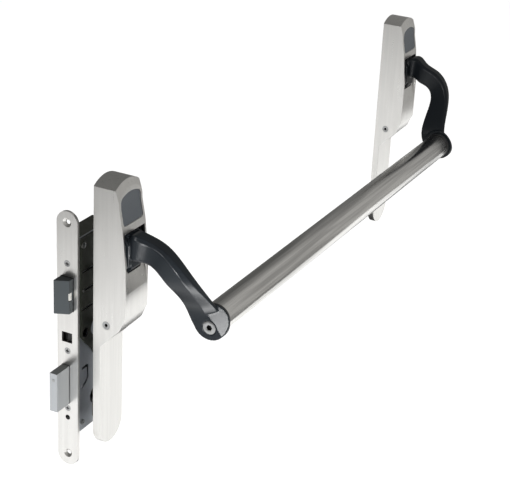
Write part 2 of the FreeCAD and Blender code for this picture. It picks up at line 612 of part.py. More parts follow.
def make_cover(side, centre):
    """A cover shell with its window, its cavity and its seat for the panel."""
    tag = side + "_cover"
    left = "%s - cover_width / 2" % centre
    right = "%s + cover_width / 2" % centre
    front = "-cover_depth"
    outside = [
        ("0", "tongue_foot"),
        ("0", "cover_crown"),
        ("-cap_depth", "cover_crown"),
        ("-cap_knee_depth", "knee_height"),
        ("-cap_foot_depth", "cap_foot"),
        (front, "front_lean"),
        (front, "front_foot"),
        ("-slope_top_depth", "slope_top"),
        ("-slope_foot_depth", "slope_foot"),
        ("-tongue_depth", "tongue_top"),
        ("-tongue_depth", "tongue_foot"),
    ]
    slab = prism(tag + "_slab", "YZ", outside, left, right)
    crown = crown_shape(tag + "_crown", centre, "cover_width / 2", "0", "1")
    trunk = box(tag + "_trunk", left, right, "-50", "1", "toe_height", "knee_height")
    chin = rod(tag + "_chin", "Y", centre, "toe_height", "cover_width / 2", "-50", "1")
    outline = join(tag + "_outline", crown, trunk, chin)
    solid = common(tag + "_solid", slab, outline)

    cavity = [
        ("2", "tongue_foot + cover_wall"),
        ("2", "cover_crown"),
        ("-(cap_depth - cap_wall)", "cover_crown"),
        ("-(cap_knee_depth - cap_wall)", "knee_height"),
        ("-(cap_foot_depth - cap_wall)", "cap_foot"),
        ("-(cap_foot_depth - front_wall)", "window_top + 1"),
        ("-(cover_depth - front_wall)", "front_lean"),
        ("-(cover_depth - lower_front_wall)", "window_foot + 2"),
        ("-(cover_depth - lower_front_wall)", "(front_foot + slope_top) / 2"),
        ("-(slope_top_depth - slope_wall)", "slope_top + slope_wall"),
        ("-(slope_foot_depth - slope_wall)", "slope_foot + slope_wall"),
        ("-(tongue_depth - tongue_skin)", "tongue_top - slope_wall"),
        ("-(tongue_depth - tongue_skin)", "tongue_foot + cover_wall"),
    ]
    inner_left = "%s - cavity_half" % centre
    inner_right = "%s + cavity_half" % centre
    hollow = prism(tag + "_hollow", "YZ", cavity, inner_left, inner_right)
    well = box(tag + "_well", inner_left, inner_right, "-50", "3", "toe_height", "knee_height")
    attic = crown_shape(tag + "_attic", centre, "cavity_half", "roof_wall", "3")
    toe = rod(tag + "_toe", "Y", centre, "toe_height", "cavity_half", "-50", "3")
    cavity_solid = common(tag + "_cavity", hollow, join(tag + "_well_outline", well, attic, toe))

    window = prism(tag + "_window", "XZ", [
        ("%s - window_half" % centre, "window_top"),
        ("%s - window_half" % centre, "window_foot + window_corner"),
        ("%s - window_half + window_corner" % centre, "window_foot"),
        ("%s + window_half - window_corner" % centre, "window_foot"),
        ("%s + window_half" % centre, "window_foot + window_corner"),
        ("%s + window_half" % centre, "window_top"),
    ], "-50", "-20")
    facet = prism(tag + "_facet", "YZ", [
        ("-cover_depth - 0.01", "facet_break"),
        ("-(cover_depth - facet_sink)", "window_foot"),
        ("-(cover_depth - facet_sink)", "window_foot + window_corner + 1"),
        ("-50", "window_foot + window_corner + 1"),
        ("-50", "facet_break"),
    ], "%s - cover_width / 2 + facet_rim" % centre, "%s + cover_width / 2 - facet_rim" % centre)
    recess = common(
        tag + "_recess",
        cover_profile(tag + "_recess_depth", "(panel_sink + panel_thick)", left, right),
        panel_shape(tag + "_recess_shape", centre, "0"),
    )
    tools = [cavity_solid, window, facet, recess]
    for sign, mark in (("-", "left"), ("+", "right")):
        outer = "%s %s (cover_width / 2 + 1)" % (centre, sign)
        inside = "%s %s (cavity_half - 1)" % (centre, sign)
        face = "%s %s cover_width / 2" % (centre, sign)
        root = "%s %s (cover_width / 2 - screw_countersink)" % (centre, sign)
        low, high = (outer, inside) if sign == "-" else (inside, outer)
        tools.append(rod("%s_screw_way_%s" % (tag, mark), "X", "-screw_depth", "screw_height",
                         "screw_shank + seat_play", low, high))
        low, high = (face, root) if sign == "-" else (root, face)
        wide = "screw_head + seat_play"
        slim = "screw_shank + seat_play"
        first, last = (wide, slim) if sign == "-" else (slim, wide)
        tools.append(taper("%s_screw_seat_%s" % (tag, mark), "X", "-screw_depth", "screw_height",
                           first, last, low, high))
    node(tag, cut(tag, solid, *tools))

    strip = cut(
        side + "_panel_strip",
        cover_profile(side + "_panel_back", "(panel_sink + panel_thick)", left, right),
        cover_profile(side + "_panel_face", "panel_sink", "%s - 1" % left, "%s + 1" % right),
    )
    shape = panel_shape(side + "_panel_shape", centre, "seat_play")
    node(side + "_panel", common(side + "_panel", strip, shape))


def make_cover_screws(side, centre):
    """The two countersunk screws in a cover's sides."""
    made = []
    for sign, mark in (("-", "left"), ("+", "right")):
        tag = "%s_cover_screw_%s" % (side, mark)
        face = "%s %s (cover_width / 2 - head_sink)" % (centre, sign)
        root = "%s %s (cover_width / 2 - screw_countersink)" % (centre, sign)
        end = "%s %s (plate_half - flange_thick - screw_past)" % (centre, sign)
        deep = "%s %s (cover_width / 2 - screw_countersink - 0.5)" % (centre, sign)
        if sign == "-":
            head = taper(tag + "_head", "X", "-screw_depth", "screw_height", "screw_head", "screw_shank",
                         face, root)
            shank = rod(tag + "_shank", "X", "-screw_depth", "screw_height", "screw_shank", root, end)
            key = hexagon(tag + "_key", "X", "-screw_depth", "screw_height", "hex_key", face + " - 1", deep)
        else:
            head = taper(tag + "_head", "X", "-screw_depth", "screw_height", "screw_shank", "screw_head",
                         root, face)
            shank = rod(tag + "_shank", "X", "-screw_depth", "screw_height", "screw_shank", end, root)
            key = hexagon(tag + "_key", "X", "-screw_depth", "screw_height", "hex_key", deep, face + " + 1")
        made.append(cut(tag, join(tag + "_solid", head, shank), key))
    node(side + "_cover_screws", join(side + "_cover_screws", *made))


# Chassis, pivot and slider


def make_chassis(side, centre, driven):
    """The fixed frame of a housing: plate, ears for the pivot, flanges for the cover and spring bridge."""
    tag = side + "_chassis"
    left = "%s - plate_half" % centre
    right = "%s + plate_half" % centre
    plate = box(tag + "_plate", left, right, "-plate_thick", "0", "toe_height", "plate_top")
    toe = rod(tag + "_toe", "Y", centre, "toe_height", "plate_half", "-plate_thick", "0")
    parts = [plate, toe]
    for sign, mark in (("-", "left"), ("+", "right")):
        outer = "%s %s plate_half" % (centre, sign)
        inner = "%s %s (plate_half - flange_thick)" % (centre, sign)
        low, high = (outer, inner) if sign == "-" else (inner, outer)
        parts.append(prism("%s_ear_%s" % (tag, mark), "YZ", [
            ("-1", "ear_foot"),
            ("-1", "ear_top"),
            ("-(ear_depth - ear_corner)", "ear_top"),
            ("-ear_depth", "ear_top - ear_corner"),
            ("-ear_depth", "ear_foot + ear_corner"),
            ("-(ear_depth - ear_corner)", "ear_foot"),
        ], low, high))
        parts.append(box("%s_flange_%s" % (tag, mark), low, high, "-flange_depth", "-1",
                         "screw_height - screw_flange_half", "screw_height + screw_flange_half"))
        parts.append(box("%s_strut_%s" % (tag, mark), low, high, "-flange_depth", "-1",
                         "bridge_foot - bridge_reach", "bridge_top + bridge_reach"))
    parts.append(box(tag + "_bridge", left, right, "-flange_depth", "-(slider_front + bridge_gap)",
                     "bridge_foot", "bridge_top"))
    parts.append(rod(tag + "_spigot", "Z", centre, "-coil_depth", "spigot_radius",
                     "bridge_foot - spigot_high", "bridge_foot + 1"))
    solid = join(tag + "_solid", *parts)
    holes = []
    holes.append(rod(tag + "_pivot_way", "X", "-pivot_depth", "pivot_height", "pivot_pin + press_play",
                     "%s - 30" % centre, "%s + 30" % centre))
    holes.append(rod(tag + "_screw_way", "X", "-screw_depth", "screw_height", "screw_shank + press_play",
                     "%s - 30" % centre, "%s + 30" % centre))
    for height, mark in (("fixing_half", "top"), ("-fixing_half", "foot")):
        holes.append(rod("%s_fixing_%s" % (tag, mark), "Y", centre, height, "fixing_bore", "-5", "1"))
    if driven:
        holes.append(rod(tag + "_spindle_way", "Y", centre, "0", "bush_outer", "-5", "1"))
        for height, mark in (("bolt_rise", "high"), ("-bolt_drop", "low")):
            holes.append(rod("%s_bolt_way_%s" % (tag, mark), "Y", "%s + bolt_out" % centre, height,
                             "bolt_shank + bolt_play", "-5", "1"))
    node(tag, cut(tag, solid, *holes))
    node(side + "_pivot_pin", rod(side + "_pivot_pin", "X", "-pivot_depth", "pivot_height", "pivot_pin",
                                  "%s - plate_half - pin_proud" % centre,
                                  "%s + plate_half + pin_proud" % centre))
    bush = rod(side + "_bush_solid", "X", "-pivot_depth", "pivot_height", "pivot_pin + bush_wall",
               "%s - hub_half" % centre, "%s + hub_half" % centre)
    bore = rod(side + "_bush_bore", "X", "-pivot_depth", "pivot_height", "pivot_pin + running_play",
               "%s - 30" % centre, "%s + 30" % centre)
    node(side + "_pivot_bush", cut(side + "_pivot_bush", bush, bore))


def make_slider(side, centre, driven):
    """The plate that the hub's finger lifts against the return spring."""
    tag = side + ("_drive_slider" if driven else "_return_slider")
    near = "-slider_front"
    far = "-slider_back"
    parts = [
        box(tag + "_plate", "%s - slider_half" % centre, "%s + slider_half" % centre, near, far,
            "slider_foot", "slider_top"),
        box(tag + "_shelf", "%s - shelf_half" % centre, "%s + shelf_half" % centre, "-shelf_depth",
            "-(slider_back + 1)", "slider_foot", "shelf_top"),
        rod(tag + "_spigot", "Z", centre, "-coil_depth", "spigot_radius",
            "slider_foot + 1", "shelf_top + spigot_high"),
    ]
    if driven:
        knee_top = "slider_foot + leg_overlap"
        parts.append(box(tag + "_leg", "-leg_outer", "-leg_inner", near, far, "-leg_below", knee_top))
        parts.append(box(tag + "_knee", "-leg_outer", "0", near, far, "slider_foot", knee_top))
    holes = [
        box(tag + "_window", "%s - finger_half - finger_side_play" % centre,
            "%s + finger_half + finger_side_play" % centre, "-20", "0",
            "pivot_height - finger_round - slot_play", "pivot_height + finger_round + slot_play"),
    ]
    if driven:
        holes.append(box(tag + "_slot", "-(crank_radius + drive_pin + slot_play)", "-leg_inner + 1", "-20",
                         "0", "pin_z - drive_pin - slot_play", "pin_z + drive_pin + slot_play"))
    node(tag, cut(tag, join(tag + "_solid", *parts), *holes))


def coil_path(radius, foot, top, turns):
    """A helix between two heights, as half-turn arcs."""
    edges = []
    steps = int(turns * 4)

    def spot(step):
        angle = step * math.pi / 2
        level = foot + (top - foot) * step / steps
        return FreeCAD.Vector(radius * math.cos(angle), radius * math.sin(angle), level)

    def between(step):
        angle = (step + 0.5) * math.pi / 2
        level = foot + (top - foot) * (step + 0.5) / steps
        return FreeCAD.Vector(radius * math.cos(angle), radius * math.sin(angle), level)

    for step in range(steps):
        edges.append(Part.Arc(spot(step), between(step), spot(step + 1)).toShape())
    return Part.Wire(edges)


def make_spring(side, centre_value):
    """The compression spring between slider shelf and bridge."""
    seat = val("pivot_height") - val("bridge_drop")
    top = seat - val("coil_wire") - val("seat_touch")
    foot = seat - val("spring_room") + val("coil_wire") + val("seat_touch")
    radius = val("coil_radius")
    path = coil_path(radius, foot, top, val("coil_turns"))
    circle = Part.Circle(FreeCAD.Vector(radius, 0, foot), FreeCAD.Vector(0, 1, 0), val("coil_wire"))
    tube = path.makePipeShell([Part.Wire([circle.toShape()])], True, False)
    made = doc.addObject("Part::Feature", side + "_return_spring")
    made.Shape = tube
    depth = (val("plate_thick") + val("slider_gap") + val("slider_thick") + val("coil_gap")
             + val("coil_radius") + val("coil_wire"))
    made.Placement = FreeCAD.Placement(FreeCAD.Vector(centre_value, -depth, 0), FreeCAD.Rotation())
    pitch = (top - foot) / val("coil_turns")
    print("return spring: least gap between turns %.2f mm" % (pitch - 2 * val("coil_wire")))
    node(side + "_return_spring", made)


# Arms and bar


def bezier(start, first, second, end, part):
    """A point on a cubic curve."""
    rest = 1 - part
    return (rest ** 3 * start + 3 * rest ** 2 * part * first + 3 * rest * part ** 2 * second
            + part ** 3 * end)


def bezier_slope(start, first, second, end, part):
    """The slope of that curve."""
    rest = 1 - part
    return (3 * rest ** 2 * (first - start) + 6 * rest * part * (second - first)
            + 3 * part ** 2 * (end - second))


def ease(part):
    """A smooth step from 0 to 1."""
    held = min(1.0, max(0.0, part))
    return held * held * (3 - 2 * held)


def arm_blade(side, centre_value, inward):
    """The swan neck between hub and boss, lofted along its centre line, with the ridge of its outer face."""
    depth = (-val("pivot_depth") - val("root_reach"), -val("bar_depth") - val("neck_bulge"),
             -val("bar_depth") + val("neck_tuck"), -val("bar_depth"))
    root = val("pivot_height") + val("root_rise")
    height = (root, root - val("root_droop"), val("bar_height") + val("neck_lead"), val("bar_height"))
    edge_end = val("boss_radius") - val("boss_shoulder")
    end_thick = val("arm_end_thick") - 2 * val("arm_sink")
    sections = []
    count = 11
    for index in range(count):
        part = index / (count - 1.0)
        y = bezier(depth[0], depth[1], depth[2], depth[3], part)
        z = bezier(height[0], height[1], height[2], height[3], part)
        run_y = bezier_slope(depth[0], depth[1], depth[2], depth[3], part)
        run_z = bezier_slope(height[0], height[1], height[2], height[3], part)
        length = math.hypot(run_y, run_z)
        across_y = -run_z / length
        across_z = run_y / length
        begun = val("crank_start")
        middle = val("arm_crank") * ease((part - begun) / (val("crank_stop") - begun))
        thick = val("arm_root_thick") + (end_thick - val("arm_root_thick")) * part
        half = thick / 2
        corner = val("arm_corner") * thick
        fall = val("slope_root") + (val("slope_end") - val("slope_root")) * part
        inner = bezier(val("inner_root"), val("inner_upper"), val("inner_lower"), edge_end, part)
        ridge = -bezier(val("ridge_root"), val("ridge_upper"), val("ridge_lower"), val("ridge_end"), part)
        outer = -bezier(val("outer_root"), val("outer_upper"), val("outer_lower"), edge_end, part)
        outline = [
            (half, inner - corner), (half - corner, inner), (corner - half, inner), (-half, inner - corner),
            (-half, ridge), (fall - half, outer), (half - corner, outer), (half, outer + corner),
        ]
        points = []
        for aside, up in outline:
            points.append(FreeCAD.Vector(centre_value + inward * (middle + aside), y + across_y * up,
                                         z + across_z * up))
        points.append(points[0])
        sections.append(Part.makePolygon(points))
    made = doc.addObject("Part::Feature", side + "_arm_blade")
    made.Shape = Part.makeLoft(sections, True, False)
    return made


def boss_slope(side, centre_value, inward):
    """The slope that carries on from the ridge across the boss."""
    lean = math.radians(val("ridge_lean"))
    along = FreeCAD.Vector(0, -math.sin(lean), -math.cos(lean))
    out = FreeCAD.Vector(0, -math.cos(lean), math.sin(lean))
    aside = FreeCAD.Vector(inward, 0, 0)
    face = centre_value + inward * (val("arm_crank") - val("arm_end_thick") / 2)
    reach = 2 * val("boss_radius")
    ridge = FreeCAD.Vector(face, -val("bar_depth"), val("bar_height")) + out * val("ridge_end") - along * reach
    corners = [ridge, ridge - aside, ridge + out * reach - aside,
               ridge + out * reach + aside * (reach * val("boss_fall")), ridge]
    made = doc.addObject("Part::Feature", side + "_arm_boss_slope")
    made.Shape = Part.Face(Part.makePolygon(corners)).extrude(along * (2 * reach))
    return made


def make_arm(side, centre, centre_value, inward):
    """A cast arm: drum hub with its rear finger, blade and boss."""
    tag = side + "_arm"
    low = "%s - hub_half" % centre
    high = "%s + hub_half" % centre
    wide = rod(tag + "_drum_wide", "X", "-pivot_depth", "pivot_height", "drum_radius", low, high)
    keel = rod(tag + "_drum_keel", "X", "-pivot_depth", "pivot_height", "keel_radius",
               "%s - keel_half" % centre, "%s + keel_half" % centre)
    drum = join(tag + "_drum", wide, keel)
    front = box(tag + "_front", low, high, "-cover_depth", "-pivot_depth",
                "pivot_height - keel_radius - 1", "pivot_height + keel_radius + 1")
    core = rod(tag + "_core", "X", "-pivot_depth", "pivot_height", "hub_core", low, high)
    tip = "-pivot_depth + finger_reach"
    finger = box(tag + "_finger", "%s - finger_half" % centre, "%s + finger_half" % centre,
                 "-pivot_depth", tip, "pivot_height - finger_neck", "pivot_height + finger_neck")
    finger_end = rod(tag + "_finger_end", "X", tip, "pivot_height", "finger_round",
                     "%s - finger_half" % centre, "%s + finger_half" % centre)
    way = "+" if inward > 0 else "-"
    back = "-" if inward > 0 else "+"
    boss_mid = "%s %s arm_crank" % (centre, way)
    outer_face = "%s %s boss_half" % (boss_mid, back)
    inner_face = "%s %s boss_half" % (boss_mid, way)

    def along(name, drop, radius, start, stop):
        first, last = (start, stop) if inward > 0 else (stop, start)
        return rod(name, "X", "-bar_depth", "bar_height - " + drop, radius, first, last)

    boss = cut(tag + "_boss", along(tag + "_boss_disc", "0", "boss_radius", outer_face, inner_face),
               boss_slope(side, centre_value, inward))
    blade = arm_blade(side, centre_value, inward)
    solid = join(tag + "_solid", common(tag + "_drum_front", drum, front), core, finger, finger_end, boss,
                 blade)
    before = "%s %s 1" % (outer_face, back)
    past = "%s %s 1" % (inner_face, way)
    floor = "%s %s clamp_head_deep" % (outer_face, way)
    holes = [
        rod(tag + "_bush_way", "X", "-pivot_depth", "pivot_height", "pivot_pin + bush_wall",
            "%s - 30" % centre, "%s + 30" % centre),
        along(tag + "_clamp_way", "clamp_drop", "clamp_shank + seat_play", before, past),
        along(tag + "_clamp_seat", "clamp_drop", "clamp_head + seat_play", before, floor),
        along(tag + "_spigot_way", "0", "plug_spigot + running_play",
              "%s %s spigot_length" % (inner_face, back), past),
        along(tag + "_collar_seat", "0", "boss_radius", inner_face, "%s %s 6" % (inner_face, way)),
    ]
    node(tag, cut(tag, solid, *holes))

    screw = [
        along(tag + "_screw_head", "clamp_drop", "clamp_head", "%s %s clamp_sink" % (outer_face, way), floor),
        along(tag + "_screw_shank", "clamp_drop", "clamp_shank", floor, "%s %s clamp_length" % (floor, way)),
    ]
    key_floor = "%s %s (clamp_sink + clamp_key_deep)" % (outer_face, way)
    first, last = (before, key_floor) if inward > 0 else (key_floor, before)
    key = hexagon(tag + "_screw_key", "X", "-bar_depth", "(bar_height - clamp_drop)", "clamp_key", first, last)
    clamp = cut(tag + "_screw", join(tag + "_screw_solid", *screw), key)

    collar_end = "%s %s collar_length" % (inner_face, way)
    ring = along(tag + "_collar_ring", "0", "collar_radius", inner_face, collar_end)
    ring_bore = along(tag + "_collar_bore", "0", "bar_bore + running_play", "%s %s 1" % (inner_face, back),
                      "%s %s 1" % (collar_end, way))
    collar = cut(tag + "_collar", ring, ring_bore)
    plug_parts = [
        along(tag + "_plug_spigot", "0", "plug_spigot",
              "%s %s (spigot_length - spigot_end_play)" % (inner_face, back), "%s %s 0.2" % (inner_face, way)),
        along(tag + "_plug_body", "0", "bar_bore", "%s %s 0.05" % (inner_face, way),
              "%s %s plug_reach" % (collar_end, way)),
    ]
    plug_bore = along(tag + "_plug_bore", "clamp_drop", "clamp_shank + press_play",
                      "%s %s 20" % (inner_face, back), "%s %s (plug_reach - 2)" % (collar_end, way))
    plug = cut(tag + "_plug", join(tag + "_plug_solid", *plug_parts), plug_bore)
    return clamp, collar, plug


def make_bar():
    """The two arms, the tube between them and what holds it."""
    near = make_arm("lock_side", "0", 0.0, 1)
    far = make_arm("hinge_side", "housing_pitch", val("housing_pitch"), -1)
    node("arm_screws", join("arm_screws", near[0], far[0]))
    node("lock_side_bar_collar", near[1])
    node("hinge_side_bar_collar", far[1])
    node("bar_plugs", join("bar_plugs", near[2], far[2]))
    start = "arm_crank + boss_half + collar_length"
    stop = "housing_pitch - arm_crank - boss_half - collar_length"
    tube = rod("bar_tube_solid", "X", "-bar_depth", "bar_height", "bar_radius", start, stop)
    bore = rod("bar_tube_bore", "X", "-bar_depth", "bar_height", "bar_bore + running_play",
               start + " - 1", stop + " + 1")
    node("bar_tube", cut("bar_tube", tube, bore))


# Spindle drive


def square(name, flat, near, far):
    """A square bar on the spindle axis."""
    half = "(%s) / 2" % flat
    return box(name, "-" + half, half, near, far, "-" + half, half)


def make_drive():
    """Lever, pin, bush, spindle and the bolts that clamp housing and lock to each other."""
    disc = rod("lever_disc", "Y", "0", "0", "spindle_boss", "-lever_front", "spindle_boss_back")
    eye = rod("lever_eye", "Y", "pin_x", "pin_z", "drive_pin + eye_wall", "-lever_front", "-lever_back")
    web = prism("lever_web", "XZ", [
        ("0", "spindle_boss * 0.55"),
        ("pin_x", "pin_z + drive_pin + eye_wall"),
        ("pin_x", "pin_z - drive_pin - eye_wall"),
        ("0", "-spindle_boss * 0.85"),
    ], "-lever_front", "-lever_back")
    pin_hole = rod("lever_pin_hole", "Y", "pin_x", "pin_z", "drive_pin + press_play", "-20", "0")
    lever = cut("spindle_lever", join("lever_solid", disc, eye, web), pin_hole,
                square("lever_square", "spindle_square + square_play", "-20", "20"))
    node("spindle_lever", lever)
    node("drive_pin_stud", rod("drive_pin_stud", "Y", "pin_x", "pin_z", "drive_pin", "-lever_front",
                               "-(slider_back + 0.2)"))
    ring = rod("spindle_bush_ring", "Y", "0", "0", "bush_outer", "-plate_thick", "0")
    hole = rod("spindle_bush_bore", "Y", "0", "0", "spindle_boss + running_play", "-20", "20")
    node("spindle_bush", cut("spindle_bush", ring, hole))
    node("spindle", square("spindle", "spindle_square", "-lever_front", "case_back - 0.5"))
    bolts = []
    for height, mark in (("bolt_rise", "high"), ("-bolt_drop", "low")):
        tag = "through_bolt_" + mark
        head = rod(tag + "_head", "Y", "bolt_out", height, "bolt_head", "-plate_thick - bolt_head_deep",
                   "-plate_thick")
        shank = rod(tag + "_shank", "Y", "bolt_out", height, "bolt_shank", "-plate_thick", "case_back - bolt_short")
        key = hexagon(tag + "_key", "Y", "bolt_out", height, "hex_key", "-plate_thick - bolt_head_deep - 1",
                      "-plate_thick - 1")
        bolts.append(cut(tag, join(tag + "_solid", head, shank), key))
    node("through_bolts", join("through_bolts", *bolts))


# Lock


def cylinder_way(tag, near, far):
    """The keyhole-shaped opening for a cylinder."""
    circle = rod(tag + "_round", "Y", "0", "-cylinder_drop", "cylinder_round", near, far)
    stem = box(tag + "_stem", "-cylinder_slot", "cylinder_slot", near, far, "cylinder_toe", "-cylinder_drop")
    toe = rod(tag + "_toe", "Y", "0", "cylinder_toe", "cylinder_slot", near, far)
    return join(tag, circle, stem, toe)


def bolt_ways(tag, low, high):
    """Openings for latch, trigger and deadbolt."""
    return [
        box(tag + "_latch_way", low, high, "latch_near - bolt_gap", "latch_far + bolt_gap",
            "latch_foot - bolt_gap", "latch_top + bolt_gap"),
        box(tag + "_trigger_way", low, high, "trigger_near - bolt_gap", "trigger_far + bolt_gap",
            "trigger_foot - bolt_gap", "trigger_top + bolt_gap"),
        box(tag + "_dead_way", low, high, "dead_near - bolt_gap", "dead_far + bolt_gap",
            "dead_foot - bolt_gap", "dead_top + bolt_gap"),
    ]


CASE_FIXINGS = (("case_fixing_top", "top"), ("case_fixing_mid", "mid"), ("case_fixing_foot", "foot"))


def fixing_ways(tag):
    """Holes for the screws that hold the forend to the case."""
    made = []
    for height, mark in CASE_FIXINGS:
        made.append(rod("%s_fixing_way_%s" % (tag, mark), "X", "forend_mid", height,
                        "case_fixing_shank + running_play", "-40", "-20"))
    return made


def make_forend():
    """The faceplate, its empty holes for the door screws, and the screws that hold it to the case."""
    half = "forend_width / 2"
    strip = box("forend_strip", "-backset", "forend_back", "door_skin", "forend_far",
                "%s - forend_drop" % half, "forend_rise - %s" % half)
    ends = []
    for height, mark in (("forend_rise - %s" % half, "top"), ("%s - forend_drop" % half, "foot")):
        ends.append(rod("forend_end_" + mark, "X", "forend_mid", height, half, "-backset", "forend_back"))
    tools = bolt_ways("forend", "-40", "-20") + fixing_ways("forend")
    tools.append(rod("forend_cylinder_screw_way", "X", "forend_mid", "cylinder_screw_height",
                     "cylinder_screw", "-40", "-20"))
    for height, mark in (("top_screw", "top"), ("foot_screw", "foot")):
        tools.append(taper("forend_seat_" + mark, "X", "forend_mid", height, "door_screw_seat",
                           "door_screw_bore", "-backset", "-backset + door_screw_sink"))
        tools.append(rod("forend_way_" + mark, "X", "forend_mid", height, "door_screw_bore", "-40", "-20"))
    screws = []
    for height, mark in CASE_FIXINGS:
        root = "-backset + case_fixing_sink"
        tools.append(taper("forend_fixing_seat_" + mark, "X", "forend_mid", height,
                           "case_fixing_head + running_play", "case_fixing_shank + running_play",
                           "-backset", root))
        head = taper("forend_fixing_head_" + mark, "X", "forend_mid", height, "case_fixing_head",
                     "case_fixing_shank", "-backset + head_sink", root)
        shank = rod("forend_fixing_shank_" + mark, "X", "forend_mid", height, "case_fixing_shank", root,
                    "forend_back + case_sheet + case_fixing_past")
        cross = []
        for wide, tall, turn in (("recess_reach", "recess_half", "flat"),
                                 ("recess_half", "recess_reach", "tall")):
            cross.append(box("forend_fixing_%s_%s" % (turn, mark), "-backset - 1",
                             "-backset + recess_deep", "forend_mid - " + wide, "forend_mid + " + wide,
                             height + " - " + tall, height + " + " + tall))
        screws.append(cut("forend_fixing_" + mark, join("forend_fixing_solid_" + mark, head, shank), *cross))
    node("forend", cut("forend", join("forend_solid", strip, *ends), *tools))
    node("forend_fixing_screws", join("forend_fixing_screws", *screws))


# Each post: across, up, name, whether a through bolt enters it, whether the upper plate lies over it.
POSTS = (
    ("bolt_out", "bolt_rise", "high", True, True),
    ("bolt_out", "-bolt_drop", "low", True, True),
    ("case_far - post_inset", "case_rise - post_end_inset", "far_top", False, True),
    ("case_far - post_inset", "post_end_inset - case_drop", "far_foot", False, False),
    ("forend_back + post_inset", "case_rise - post_end_inset", "near_top", False, True),
    ("forend_back + post_inset", "post_end_inset - case_drop", "near_foot", False, False),
)

# The hook-shaped slot of the case plate, from the spindle axis.
HOOK = (("-22", "-36.8"), ("-22", "-34.2"), ("-13", "-34.2"), ("-11.4", "-36.2"), ("-11.4", "-48"),
        ("-14", "-51.9"), ("-22", "-56.5"), ("-22", "-53.7"), ("-15.9", "-50"), ("-14", "-47.2"),
        ("-14", "-36.8"))

# The hollowed lower edge of the upper plate, from the spindle axis.
HOLLOW_EDGE = (("-23.5", "-3.5"), ("-18.5", "-10"), ("-12", "-16"), ("-8", "-20"))


def make_case():
    """The sheet case with its plates, posts and screws."""
    shell = box("case_shell", "forend_back", "case_far", "room_front", "case_back", "-case_drop", "case_rise")
    room = box("case_room", "forend_back + case_sheet", "case_far - case_sheet", "case_front", "room_back",
               "case_sheet - case_drop", "case_rise - case_sheet")
    tools = [room] + bolt_ways("case", "-40", "-20") + fixing_ways("case")
    tools.append(cylinder_way("case_cylinder_way", "forend_mid", "40"))
    tools.append(rod("case_trunnion_way", "Y", "0", "0", "trunnion + running_play", "forend_mid", "40"))
    tools.append(rod("case_cylinder_screw_way", "X", "forend_mid", "cylinder_screw_height",
                     "cylinder_screw", "-40", "-20"))
    node("lock_case", cut("lock_case", shell, *tools))

    plate = box("case_plate_solid", "forend_back", "case_far", "case_front", "room_front", "-case_drop",
                "case_rise")
    holes = [
        cylinder_way("plate_cylinder_way", "0", "forend_mid"),
        rod("plate_trunnion_way", "Y", "0", "0", "trunnion + running_play", "0", "forend_mid"),
        prism("plate_hook_slot", "XZ", HOOK, "0", "forend_mid"),
        rod("plate_recess", "Y", "-recess_out", "0", "recess_radius", "0", "forend_mid"),
    ]
    left = "forend_back + shield_rim + 1"
    right = "case_far - shield_rim - 1"
    top = "case_rise - shield_rim"
    edge = [(left, top), (left, "-2")] + list(HOLLOW_EDGE)
    edge += [("-4", "-shield_drop"), (right, "-shield_drop"), (right, top)]
    shield = prism("shield_solid", "XZ", edge, "case_front - shield_thick", "case_front")
    openings = [
        rod("shield_spindle_way", "Y", "0", "0", "trunnion + 1", "0", "forend_mid"),
        rod("shield_recess", "Y", "-recess_out", "0", "recess_radius", "0", "forend_mid"),
    ]
    for index in range(3):
        height = "(vent_first + %d * vent_pitch)" % index
        start = "-vent_from + vent_short" if index == 1 else "-vent_from"
        openings.append(box("shield_slot_%d" % index, start, "-vent_to", "0", "forend_mid",
                            height + " - vent_half", height + " + vent_half"))
    stud = ("-vent_from + stud_gap", "vent_first + vent_pitch")
    openings.append(rod("shield_stud_way", "Y", stud[0], stud[1], "stud_radius + running_play", "0",
                        "forend_mid"))
    node("upper_plate_rivet", rod("upper_plate_rivet", "Y", stud[0], stud[1], "stud_radius",
                                  "case_front - shield_thick - stud_high", "case_front"))
    posts = []
    caps = []
    for across, up, mark, bolted, shielded in POSTS:
        post = rod("post_solid_" + mark, "Y", across, up, "post_radius", "room_front", "room_back")
        reach = "bolt_shank + 0.1" if bolted else "case_screw + 0.1"
        end = "case_back - bolt_short + 0.5" if bolted else "case_back - case_screw_long + 1"
        posts.append(cut("post_" + mark, post, rod("post_bore_" + mark, "Y", across, up, reach, "0", end)))
        wide = "bolt_shank + bolt_play" if bolted else "case_screw + seat_play"
        holes.append(rod("plate_way_" + mark, "Y", across, up, wide, "0", "forend_mid"))
        if shielded:
            openings.append(rod("shield_way_" + mark, "Y", across, up, wide, "0", "forend_mid"))
        if not bolted:
            face = "case_front - shield_thick" if shielded else "case_front"
            cap = rod("case_screw_head_" + mark, "Y", across, up, "case_screw_head",
                      face + " - case_screw_high", face)
            stem = rod("case_screw_stem_" + mark, "Y", across, up, "case_screw", face,
                       "case_back - case_screw_long")
            slit = box("case_screw_slit_" + mark, across + " - case_screw_head",
                       across + " + case_screw_head", face + " - case_screw_high", face + " - 0.6",
                       up + " - recess_half", up + " + recess_half")
            caps.append(cut("case_screw_" + mark, join("case_screw_solid_" + mark, cap, stem), slit))
    node("case_plate", cut("case_plate", plate, *holes))
    node("upper_case_plate", cut("upper_case_plate", shield, *openings))
    node("case_posts", join("case_posts", *posts))
    node("case_screws", join("case_screws", *caps))


def polar(radius, angle, letter):
    """A place at a radius and an angle from straight up, clockwise when seen from the near side."""
    return "(%s) * %s(%s)" % (radius, {"x": "sin", "z": "cos"}[letter], angle)


def leaning(aside, along, angle):
    """A corner of an arm that leans from straight up: how far aside of its axis, and how far along."""
    across = "(%s) * sin(%s) + (%s) * cos(%s)" % (along, angle, aside, angle)
    up = "(%s) * cos(%s) - (%s) * sin(%s)" % (along, angle, aside, angle)
    return across, up


